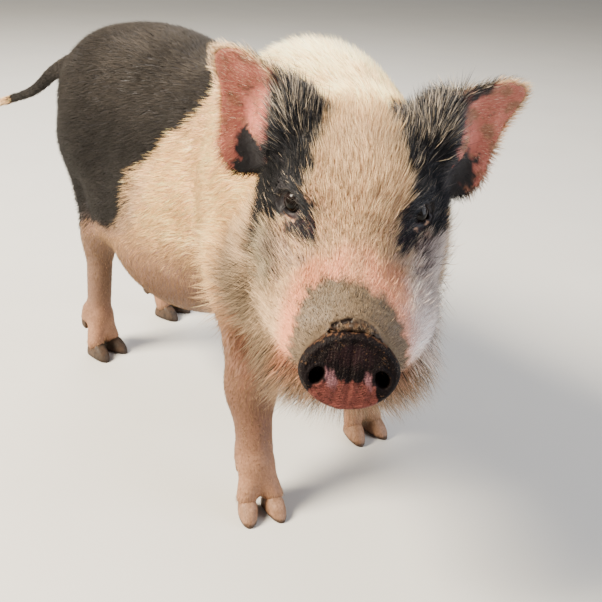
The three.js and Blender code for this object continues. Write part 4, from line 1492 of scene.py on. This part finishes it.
def bare(points):
    """Places where nothing grows: under the lids, the disc's seat, its folds, and the soles."""
    in_disc = local(disc_frame, points)
    seat = (np.hypot(in_disc[:, 0] / 35, in_disc[:, 2] / 29) < 0.97) & (in_disc[:, 1] < 9)
    eyes = np.zeros(len(points), bool)
    for side in (-1, 1):
        q = local(eye_frames[side], points)
        eyes |= (oval_of_lids(q) < 11.5) & (q[:, 1] < 0) & (q[:, 1] > -20)
    folded = (melted(crease, points) < -0.1) | (melted(ridge, points) < -0.1)
    return seat | eyes | folded | (points[:, 2] < 15)


grows = ~bare(triangle_middle)


def sow(count, density, anywhere=False):
    """Roots spread evenly by area times density, each with a random place in its triangle."""
    weight = area * (anywhere | grows) * density(triangle_middle)
    edge = np.cumsum(weight)
    stops = (np.arange(count) + random.uniform(size=count)) / count * edge[-1]
    chosen = np.searchsorted(edge, stops)
    u, v = random.uniform(size=(2, count, 1))
    over = u + v > 1
    u, v = np.where(over, 1 - u, u), np.where(over, 1 - v, v)

    def between(corners):
        """Mixes what a triangle's three corners have, by u and v."""
        return corners[0] * (1 - u - v) + corners[1] * u + corners[2] * v

    roots = between([vertex[triangle[chosen, i]] for i in range(3)])
    normals = between([vertex_normal[triangle[chosen, i]] for i in range(3)])
    return roots, normals / np.linalg.norm(normals, axis=1, keepdims=True)


print("share of the skin's triangles where hair grows:", grows.mean().round(3))

# %% [markdown]
# ## The lie of the coat
# Bristles lie back along the trunk, away from the snout on the face, down the legs and out along the ears.
# Combing each lock by hand would take days, so the lie is worked out: each region has its own direction, the
# regions blend into each other, and slow waves, wisps and a little chance stir it.

# %% The lie of the coat
WISP = 6.5
PARTING = (0, -125, -62)  # where the face's hair starts, on the snout, in the head's frame


def region_shares(points):
    """Shares of face, legs, ears and tail at points, each a climb; what is left is trunk and neck."""
    in_head = local(head, points)
    face = ramp(-in_head[:, 1], -95, -45) * ramp(-np.linalg.norm(in_head, axis=1), -225, -175)
    leg = ramp(-points[:, 2], -215, -150) * (1 - face)
    return {"face": face, "leg": leg, "ear": share_of_ear(points), "tail": share_of_tail(points)}


def wisps(points):
    """Cells of bent space: the pull towards a cell's middle, and the cell's random number from -1 to 1."""
    bent = points + 6 * np.stack([wobble(points, 24, seed) for seed in (44, 45, 46)], 1)
    cell = np.floor(bent / WISP)
    number = np.modf(np.abs(np.sin(cell @ (12.9898, 78.233, 37.719)) * 43758.5453))[0]
    return (cell + 0.5) - bent / WISP, 2 * number - 1


def on_crest(points):
    """1 along the top of the neck and shoulders: a climb with height, and one forward of the hips."""
    return ramp(points[:, 2], 385, 428) * ramp(-local(hips, points)[:, 1], 110, 200)


def lie_of_coat(points, normals):
    """Each region's direction, blended by its share, stirred by waves and chance, and laid along the skin."""
    share = region_shares(points)
    back = (hips[:3, 1] + shoulders[:3, 1]) / 2
    side = normals @ hips[:3, 0]
    lie = back + np.array([0, 0, -1]) * (0.15 + 0.35 * np.abs(side))[:, None]
    away = points - at(head, *PARTING)
    away /= np.linalg.norm(away, axis=1, keepdims=True)
    lie = blend(lie, away, share["face"])
    lie = blend(lie, np.array([0.0, 0.12, -1.0]), share["leg"])
    for s in (-1, 1):
        q = on_ear(s, points)
        out, fan = ear_frames[s][:3, 0] * s, ear_frames[s][:3, 2]
        direction = out + fan * np.clip((q[:, 2] - 4) / 45, -1, 1)[:, None]
        lie = blend(lie, direction, share["ear"] * (local(head, points)[:, 0] * s > 0))
    lie = blend(lie, hips[:3, 1] - np.array([0, 0, 0.3]), share["tail"])
    stir = np.stack([wobble(points, 38, seed) for seed in (41, 42, 43)], 1)
    pull = np.stack([wobble(points, 11, seed) for seed in (47, 48, 49)], 1)
    lie = lie + 0.15 * stir + 0.08 * random.normal(size=lie.shape)
    rump = 0.4 * ramp(local(hips, points)[:, 1], -200, -100) * (1 - share["leg"])
    calm = 0.6 * share["leg"] + 0.45 * share["face"] + rump
    lie += (0.14 * pull + 0.38 * wisps(points)[0]) * (1 - calm)[:, None]
    lie -= (lie * normals).sum(1, keepdims=True) * normals
    return lie / np.maximum(np.linalg.norm(lie, axis=1, keepdims=True), 1e-6)


print("a wisp is", WISP, "mm across")

# %% [markdown]
# ## Colours of the hair
# Hair is cream on the pale parts, black on the patches and brown or grey on the face. Where a marking fades,
# a pig has a mix of dark and pale hairs, not grey ones. So each tuft draws a number and is dyed all dark or
# all pale, and thin hair takes on a share of the skin's own colour, because skin shines through it.

# %% Colours of the hair
def ear_rim(points):
    """1 within a few millimetres of an ear's outline."""
    share = np.zeros(len(points))
    for side in (-1, 1):
        q = on_ear(side, points)
        share = np.maximum(share, ramp(melted(ear_outline, q * (1, 0, 1)), -8, 1) ** 2 * (q[:, 0] > -5))
    return share * (share_of_ear(points) > 0.2)


# Each root colour is darker than its tip: painted shade among the hairs at the skin.
HAIR = {
    "cream": (0.90, 0.49, 0.205),
    "cream tip": (1.0, 0.69, 0.32),
    # Painted light: lighter hair along the crest, where light falls on the top.
    "crest": (1.0, 0.86, 0.54),
    "roan": (0.30, 0.275, 0.255),
    "face": (0.30, 0.192, 0.106),
    "face tip": (0.54, 0.39, 0.225),
    "cheek": (0.20, 0.185, 0.130),
    # Darker beard hair under the jaw, which also carries painted shade.
    "jaw": (0.15, 0.120, 0.085),
    "stray": (0.40, 0.33, 0.25),
    # Painted sky light on the left side, and painted light nearer the muzzle.
    "cool": (0.64, 0.58, 0.56),
    "painted_light_violet": (0.98, 0.84, 0.80),
    "dark": (0.0175, 0.016, 0.0155),
    # Tips of the saddle's hair, used more towards the top of the body: a painted sheen.
    "dark tip": (0.048, 0.040, 0.034),
    "black": (0.011, 0.012, 0.015),
    "olive": (0.118, 0.084, 0.056),
    "outer": (0.005, 0.005, 0.006),
    "outer tip": (0.008, 0.008, 0.009),
    "grey": (0.06, 0.055, 0.055),
    "grey tip": (0.17, 0.15, 0.135),
    "fine": (0.45, 0.34, 0.24),
    "fine tip": (0.74, 0.62, 0.46),
    "lash": (0.012, 0.010, 0.010),
    "lash tip": (0.05, 0.042, 0.036),
    "disc": (0.018, 0.013, 0.012),
    "disc tip": (0.068, 0.052, 0.042),
}


def dye(hair, root_colour, tip_colour, share, tip_share=None):
    """Blends a pair of root and tip colours towards two others, the tip by its own share if it has one."""
    root, tip = hair
    return blend(root, root_colour, share), blend(tip, tip_colour, share if tip_share is None else tip_share)


def pale_hair(roots, marks, in_body, sheer):
    """Cream hair: painted light on the crest, roan, face, cheek, painted jaw shade, painted sky light, skin,
    olive.
    """
    count = len(roots)
    in_head = local(head, roots)
    hair = plain(HAIR["cream"], count), plain(HAIR["cream tip"], count)
    # Painted light along the crest of the neck and shoulders.
    hair = dye(hair, HAIR["cream tip"], HAIR["crest"], on_crest(roots))
    hair = dye(hair, HAIR["roan"], HAIR["roan"], 0.75 * marks["roan"])
    front = ramp(-in_head[:, 1], -85, -15) * (roots[:, 2] > 200)
    hair = dye(hair, HAIR["face"], HAIR["face tip"], front)
    cheek = cheek_share(roots)
    hair = dye(hair, HAIR["cheek"], HAIR["cheek"], 0.95 * cheek, 0.85 * cheek)
    # Painted shade under the jaw, on hair that is partly darker beard.
    jaw = shade_under_jaw(roots)
    hair = dye(hair, HAIR["jaw"], HAIR["jaw"], 0.8 * jaw, 0.6 * jaw)
    # Painted sky light, lighter towards the muzzle, on the side that lies in shade.
    forward = ramp(-in_head[:, 1], 40, 72)
    skylit_hair = blend(plain(HAIR["cool"], count), HAIR["painted_light_violet"], forward)
    hair = dye(hair, skylit_hair, skylit_hair, (0.75 + 0.2 * forward) * marks["cool"])
    hair = dye(hair, HAIR["stray"], HAIR["stray"], (1 - in_body) * marks["black"])
    under = skin_colours(roots)
    hair = dye(hair, under, under, np.minimum(1.25 * sheer, 1), sheer)
    return dye(hair, HAIR["olive"], HAIR["olive"], marks["olive"], 0.85 * marks["olive"])


def cheek_share(roots):
    """1 inside a ragged ball on the right cheek."""
    off = (local(head, roots) - (-68, -18, -44)) / (24, 36, 28)
    return ramp(-np.linalg.norm(off, axis=1) - 0.2 * wobble(roots, 20, 64), -1.2, -0.5)


def hair_colours(roots):
    """Root and tip colours for each tuft. Where a marking fades, single tufts are dark or pale at random."""
    marks = markings(roots)
    count = len(roots)
    in_head = local(head, roots)
    in_body = ramp(local(hips, roots)[:, 1], -240, -200)
    high_up = ramp(in_head[:, 2], 22, 50)
    fringe = ear_rim(roots) * ramp(in_head[:, 2], 10, 28)
    jaw, cheek = shade_under_jaw(roots), cheek_share(roots)
    # Which tufts are dark.
    most = np.where(in_body > 0.5, 1.0, 0.985 - 0.17 * high_up)
    dark = random.uniform(size=count) < np.clip(1.3 * marks["black"] - 0.12, 0.004, most)
    dark |= random.uniform(size=count) < 0.30 * marks["mottle"]
    dark &= random.uniform(size=count) > 0.65 * fringe
    dark |= random.uniform(size=count) < 0.22 * jaw + 0.10 * cheek
    dark |= random.uniform(size=count) < 0.14 * marks["olive"]
    # Pale hair, and how much of the skin shows through it.
    below = ramp(-roots[:, 2], -275, -150)
    on_ears = (0.70 - 0.6 * fringe) * marks["ear"]
    sheer = np.max([0.10 + 0.15 * jaw, 0.66 * marks["pink"], 0.74 * below, on_ears], 0)
    sheer = np.maximum(sheer, 0.5 * marks["mottle"])
    hair = pale_hair(roots, marks, in_body, sheer)
    # Dark hair: blackest on the outer side of the right patch, with grey hairs higher up. Higher up the
    # saddle the tips turn browner, a painted sheen on top.
    upper = ramp(roots[:, 2], 270, 400)
    dark_root = blend(plain(HAIR["black"], count), HAIR["dark"], in_body)
    dark_hair = dark_root, blend(dark_root * 1.4, HAIR["dark tip"], in_body * (0.15 + 0.85 * upper))
    outer = ramp(-in_head[:, 0], 50, 60) * (1 - in_body) * ramp(-in_head[:, 2], -30, -5)
    dark_hair = dye(dark_hair, HAIR["outer"], HAIR["outer tip"], outer)
    grey = (random.uniform(size=count) < 0.10 + 0.25 * high_up) * (1 - in_body) * (1 - outer)
    dark_hair = dye(dark_hair, HAIR["grey"], HAIR["grey tip"], grey)
    hair = dye(hair, *dark_hair, dark)
    fine = (random.uniform(size=count) < 0.12) * marks["ear"] * (1 - marks["black"])
    hair = dye(hair, HAIR["fine"], HAIR["fine tip"], fine)
    # The same painted shade with reddish staining, on the hair under the jowl.
    hair = dye(hair, SKIN["stain"], SKIN["stain"], 0.85 * marks["stain"])
    # Each tuft is a little lighter or darker than its neighbours.
    uneven = 0.10 * wobble(roots, 45, 61) + 0.08 * wobble(roots, 14, 62) + 0.2 * dark * wobble(roots, 70, 63)
    uneven += 0.11 * wisps(roots)[1] * (1 + 0.8 * marks["olive"])
    shade = np.exp(uneven + random.normal(0, 0.26 + 0.16 * marks["olive"], size=count))[:, None]
    return [np.clip(colour * shade, 0, 0.95) for colour in hair]


print("colours of hair:", len(HAIR))

# %% [markdown]
# ## The coat's finish
# Bristles are dull, and each is a little different. Their colours are stored at the points, and one soft
# noise varies them. Blender's own finish for hair needs hair strands, so this one is a plain surface, like
# the skin's.

# %% The coat's finish
coat_paint = Shader("bristles", roughness=0.6, Specular_IOR_Level=0.1)
variation = coat_paint.spread(coat_paint.noise(260, 3), 0.3, 0.7)
tint = coat_paint.mix(variation, rgb(0.90, 0.87, 0.84), rgb(1.0, 1.0, 1.0))
coat_paint.colour(coat_paint.mix(1.0, coat_paint.attribute("marks"), tint, "MULTIPLY"))
coat_paint.bump((coat_paint.noise(1800, 2), 0.0002, 0.3))
print("nodes in the coat's material:", len(coat_paint.tree.nodes))

# %% [markdown]
# ## Growing tufts
# A tuft stands for a few bristles that stick together. A card with a picture of hair would be lighter, but it
# isn't solid. So each is a closed spike: a triangle just under the skin and a point at its tip, and a bent
# one has a second, smaller triangle half way. All tufts of a piece are worked out as whole arrays.

# %% Growing tufts
NUDGE = np.array([(0, 0), (1, 0), (0.5, 0.4), (0, 0.6), (1, 0.6), (0.5, 0.8), (0.5, 1)])
STRAIGHT = [(0, 2, 1), (0, 1, 3), (1, 2, 3), (2, 0, 3)]
BENT = [(0, 2, 1), (0, 1, 4), (0, 4, 3), (1, 2, 5), (1, 5, 4), (2, 0, 3), (2, 3, 5)]
BENT += [(3, 4, 6), (4, 5, 6), (5, 3, 6)]


def tufts(name, roots, normals, length, width, lift, unwrap, bent=False, lie=None, colours=None):
    """Closed spikes along the lie, raised by lift. Bent ones have a second ring and fall back to the skin."""
    each = np.ones((len(roots), 1))
    lie = lie_of_coat(roots, normals) if lie is None else lie
    across = np.cross(normals, lie)
    lengths = np.reshape(length, (-1, 1)) * random.uniform(0.75, 1.2, size=each.shape)
    rise = np.reshape(lift, (-1, 1)) * random.uniform(0.6, 1.4, size=each.shape)
    width = width * each
    foot = roots - 0.5 * normals

    def way(angle):
        """The lie, raised off the skin by an angle."""
        return lie * np.cos(angle) + normals * np.sin(angle)

    def ring(middle, direction, size):
        """A tuft's triangle at a place: two corners below and one on top, square to a direction."""
        up = np.cross(direction, across)
        corners = ((-1, -0.5), (1, -0.5), (0, 1))
        return [middle + size * (across * c * 0.5 + up * s * 0.36) for c, s in corners]

    # Roots take the darker colour and tips the lighter: painted shade at the foot of each tuft.
    root_colour, tip_colour = hair_colours(roots) if colours is None else colours
    if bent:
        start, end = way(rise * 1.35), way(rise * 0.45)
        middle = foot + start * lengths * 0.5
        rows = ring(foot, start, width) + ring(middle, (start + end) / 2, width * 0.75)
        rows.append(middle + end * lengths * 0.5)
        middle_colour = (root_colour + tip_colour) / 2
        colours = [root_colour] * 3 + [middle_colour] * 3 + [tip_colour]
    else:
        direction = way(rise)
        rows = ring(foot, direction, width) + [foot + direction * lengths]
        colours = [root_colour] * 3 + [tip_colour]
    points = np.stack(rows, 1).reshape(-1, 3)
    faces = np.array(BENT if bent else STRAIGHT)
    index = (np.arange(len(roots)) * len(rows))[:, None, None] + faces[None]
    obj = make_piece(name, points, index.reshape(-1, 3), checked=False)
    paint(obj, "marks", np.stack(colours, 1).reshape(-1, 3))
    u, v = unwrap(roots)
    spot = np.column_stack([np.clip(u, 0.005, 0.99), np.clip(v, 0.005, 0.99)])
    nudge = 0.003 * (NUDGE if bent else NUDGE[[0, 1, 2, 6]])
    uv = (spot[:, None] + nudge[None]).reshape(-1, 2)
    layer = obj.data.uv_layers.new(name="OFBake")
    layer.data.foreach_set("uv", uv[index.reshape(-1)].astype(np.float32).ravel())
    coat_paint.on(obj)
    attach(obj, "root")
    print(name, "tufts:", len(roots), "triangles:", len(obj.data.polygons))


print("triangles of a straight tuft:", len(STRAIGHT), "and of a bent one:", len(BENT))

# %% [markdown]
# ## Unwraps of the coat
# Each piece of the coat gets a flat map of itself. Blender's own unwrap would give every tuft its own island,
# so the roots are unwrapped as the skin under them would be, round the spine, the head, each leg or the tail,
# or as sheets for the ears, and a tuft takes up a speck of the map at its root.

# %% Unwraps of the coat
def round_spine(points):
    """Unwrap of the trunk: the turn round the spine, and the way along it."""
    p = local(spine_frame(150), points)
    return 0.5 + np.arctan2(p[:, 0], p[:, 2] - 270) / (2 * math.pi), (p[:, 1] + 330) / 620


def round_head(points):
    """Unwrap of the head: the turn round its length, and the way along it."""
    p = local(head, points)
    return 0.5 + np.arctan2(p[:, 0], p[:, 2] + 40) / (2 * math.pi), (p[:, 1] + 130) / 280


def down_legs(points):
    """Unwrap of the legs: four strips side by side, each the turn round its leg and the height."""
    names = list(legs)
    tops = np.array([np.mean([joint[0] for joint in legs[word][2:]], axis=0) for word in names])
    gap = np.linalg.norm(points[:, None, :2] - tops[None, :, :2], axis=2)
    nearest = gap.argmin(1)
    off = points - tops[nearest]
    turn = 0.5 + np.arctan2(off[:, 0], off[:, 1]) / (2 * math.pi)
    return (nearest + 0.05 + 0.9 * turn) / 4, points[:, 2] / 260


def ear_sheets(points):
    """Unwrap of the ears: the front and back of each blade, four tiles in all."""
    u, v = np.zeros(len(points)), np.zeros(len(points))
    for side in (-1, 1):
        q = on_ear(side, points)
        own = local(head, points)[:, 0] * side > 0
        tile = (side > 0) * 2 + (q[:, 1] > 9)
        u = np.where(own, (tile + 0.05 + 0.9 * np.clip((q[:, 0] + 20) / 90, 0, 1)) / 4, u)
        v = np.where(own, np.clip((q[:, 2] + 60) / 130, 0, 1), v)
    return u, v


def along_tail(points):
    """Unwrap of the tail: the turn round it, and the way along it."""
    p = local(hips, points)
    return 0.5 + np.arctan2(p[:, 0] - 6, p[:, 2] - 300) / (2 * math.pi), (p[:, 1] - 80) / 220


def across_disc(points):
    """Unwrap of the snout disc, seen from the front."""
    p = local(disc_frame, points)
    return 0.5 + p[:, 0] / 80, 0.5 + p[:, 2] / 66


crown = round_head(at(head, 0, 60, 40)[None])
print("the crown of the head lies in its unwrap at", crown[0].round(2), crown[1].round(2))

# %% [markdown]
# ## Coat of the body
# The coat of the trunk and neck is coarse, and stands up a little along the crest. One dense piece would be
# too heavy, so it is four: an under layer that lies flat and a longer over layer, for each side of the pig.


# %% Coat of the body
def trunk_side(side):
    """Where the body's coat grows on one side: all but face, legs, ears and tail."""

    def density(points):
        """What is left of the body, and 0 on its other side."""
        share = region_shares(points)
        body = (1 - share["face"]) * (1 - share["leg"]) * (share["ear"] < 0.3) * (share["tail"] < 0.3)
        return body * (local(spine_frame(150), points)[:, 0] * side >= 0)

    return density


def body_length(points):
    """13 mm, 5 more along the crest and 3 less low on the belly."""
    return 13 + 5 * on_crest(points) - 3 * ramp(-points[:, 2], -230, -150)


BODY_TUFTS = 47500
for side, word in ((-1, "right"), (1, "left")):
    for layer, longer, rise in (("under", 1.0, 0.15), ("over", 1.2, 0.21)):
        roots, normals = sow(BODY_TUFTS, trunk_side(side))
        long = body_length(roots) * longer
        raised = rise + 0.22 * on_crest(roots)
        tufts(f"coat_body_{word}_{layer}", roots, normals, long, 0.62, raised, round_spine)

# %% [markdown]
# ## Coat of the face
# Hair on the face is finer, from a few millimetres at the snout to a finger's width on the brow. It has an
# under and an over layer too, and sparse whiskers that stand well off the cheeks and jaw.


# %% Coat of the face
def on_head(points):
    """Where the face's coat grows."""
    share = region_shares(points)
    return share["face"] * (share["ear"] < 0.3)


def denser_ahead(points):
    """The face's coat, two and a half times as dense on the muzzle as on the brow."""
    return on_head(points) * (1 + 1.5 * ramp(-local(head, points)[:, 1], 20, 70))


def face_length(points):
    """3 mm round the snout, 13 mm on the forehead and more under the jowl, but half that beside the eyes."""
    p = local(head, points)
    away = np.linalg.norm(p - DISC_PLACE, axis=1)
    length = 3.2 + 10 * ramp(away, 40, 150) + 8 * ramp(-p[:, 2], 80, 115) + 4 * ramp(np.abs(p[:, 0]), 50, 68)
    return length * (0.45 + 0.55 * ramp(off_eyes(points), 14, 34))


def whiskers(points):
    """Sparse on the whole face, dense low down, and none on the snout disc."""
    low = 0.15 + ramp(-local(head, points)[:, 2], 70, 105)
    return on_head(points) * low * (local(disc_frame, points)[:, 1] > 4)


FACE_TUFTS = 49500
for layer, longer, width, rise in (("under", 1.0, 0.44, 0.24), ("over", 1.2, 0.38, 0.34)):
    roots, normals = sow(FACE_TUFTS, denser_ahead)
    tufts(f"coat_face_{layer}", roots, normals, face_length(roots) * longer, width, rise, round_head)
roots, normals = sow(4500, whiskers)
tufts("coat_face_whiskers", roots, normals, face_length(roots) * 1.35 + 2, 0.42, 0.72, round_head, bent=True)

# %% [markdown]
# ## Beard and lashes
# Longer bristles hang from the chin and lips, and a few dark lashes stand on the upper lids. The lie of the
# coat would press them flat, so both fan out with a lie of their own.


# %% Beard and lashes
def beard(points):
    """More towards the underside of the lips and jaw, behind the snout disc."""
    p = local(head, points)
    low = ramp(-p[:, 2], 50, 88) * ramp(-p[:, 1], -40, 10)
    return on_head(points) * low * (0.4 + ramp(-p[:, 1], 20, 90)) * (local(disc_frame, points)[:, 1] > 3)


def outwards(points, normals):
    """Hangs down, and fans out to the sides and a little forward."""
    p = local(head, points)
    fan = head[:3, 0] * (p[:, 0] / 34)[:, None] - 0.5 * head[:3, 1] - np.array([0, 0, 1.4])
    fan = fan + 0.25 * random.normal(size=fan.shape)
    fan -= 0.6 * (fan * normals).sum(1, keepdims=True) * normals
    return fan / np.linalg.norm(fan, axis=1, keepdims=True)


def lash_line(points):
    """On the upper lid's edge."""
    share = np.zeros(len(points))
    for side in (-1, 1):
        q = local(eye_frames[side], points)
        oval = oval_of_lids(q)
        edge = (oval > 8.6) * (oval < 11.5) * (q[:, 2] > 1) * (q[:, 1] < 0) * (q[:, 1] > -18)
        share = np.maximum(share, edge)
    return share


roots, normals = sow(4600, beard)
lengths = 11 + 16 * ramp(-local(head, roots)[:, 2], 55, 90)
fan = outwards(roots, normals)
tufts("coat_beard", roots, normals, lengths, 0.42, 0.35, round_head, bent=True, lie=fan)

roots, normals = sow(110, lash_line, anywhere=True)
fan = outwards(roots, normals)
lash = plain(HAIR["lash"], len(roots)), plain(HAIR["lash tip"], len(roots))
tufts("coat_lashes", roots, normals, 7.5, 0.3, 0.5, round_head, bent=True, lie=fan, colours=lash)

# %% [markdown]
# ## Fine hair on the snout disc
# Very short hair grows on the disc itself, up and out from between the nostrils. The skin has no triangles
# there, so the roots are drawn from the disc's own points, more of them towards its rim.

# %% Fine hair on the snout disc
spots = local(disc_frame, placed_disc)
aside = np.abs(spots[:, 0]) - NOSTRIL["across"]
from_nostrils = np.hypot(aside, spots[:, 2] - NOSTRIL["drop"])
open_disc = (spots[:, 1] < -6) & (from_nostrils > 10) & (spots[:, 2] > -14)
weights = open_disc * np.hypot(spots[:, 0], spots[:, 2])
chosen = random.choice(len(spots), 2400, p=weights / weights.sum())
roots = placed_disc[chosen]
normals = np.tile(-disc_frame[:3, 1], (len(roots), 1))
lie = disc_frame[:3, 2] + disc_frame[:3, 0] * (spots[chosen, 0] / 40)[:, None]
lie += 0.15 * random.normal(size=lie.shape)
lie /= np.linalg.norm(lie, axis=1, keepdims=True)
shade = np.exp(random.normal(0, 0.5, size=(len(roots), 1)))
hair = HAIR["disc"] * shade, HAIR["disc tip"] * shade
tufts("coat_snout", roots, normals, 1.9, 0.2, 0.3, across_disc, lie=lie, colours=hair)

# %% [markdown]
# ## Coat of the legs, ears and tail
# Leg hair is short and lies close, ears have a thin fine coat and a fringe of longer hair along the rim, and
# the tail ends in a tassel. All are sown like the rest, each with its own density and length.


# %% Coat of the legs, ears and tail
def on_legs(points):
    """Where the legs' coat grows."""
    share = region_shares(points)
    return share["leg"] * (share["tail"] < 0.3)


def on_blades(points):
    """The ears' blades, denser at their rims."""
    return (share_of_ear(points) > 0.25) * (0.4 + ear_rim(points))


def on_tail(points):
    """The tail behind its root."""
    return share_of_tail(points) > 0.3


roots, normals = sow(30000, on_legs)
leg_length = 4.5 + 5 * ramp(roots[:, 2], 60, 180) + 3 * ramp(-roots[:, 2], -34, -22)
tufts("coat_legs", roots, normals, leg_length, 0.55, 0.2, down_legs)

roots, normals = sow(16000, on_blades)
tufts("coat_ears", roots, normals, 5.0 + 3 * ear_rim(roots), 0.28, 0.26, ear_sheets)
roots, normals = sow(3600, ear_rim)
tufts("coat_ear_fringes", roots, normals, 10.5, 0.42, 0.5, ear_sheets, bent=True)

roots, normals = sow(4500, on_tail)
tail_end = ramp(local(hips, roots)[:, 1], 200, 262)
tufts("coat_tail", roots, normals, 8 + 11 * tail_end, 0.6, 0.22 - 0.1 * tail_end, along_tail, bent=True)

# %% [markdown]
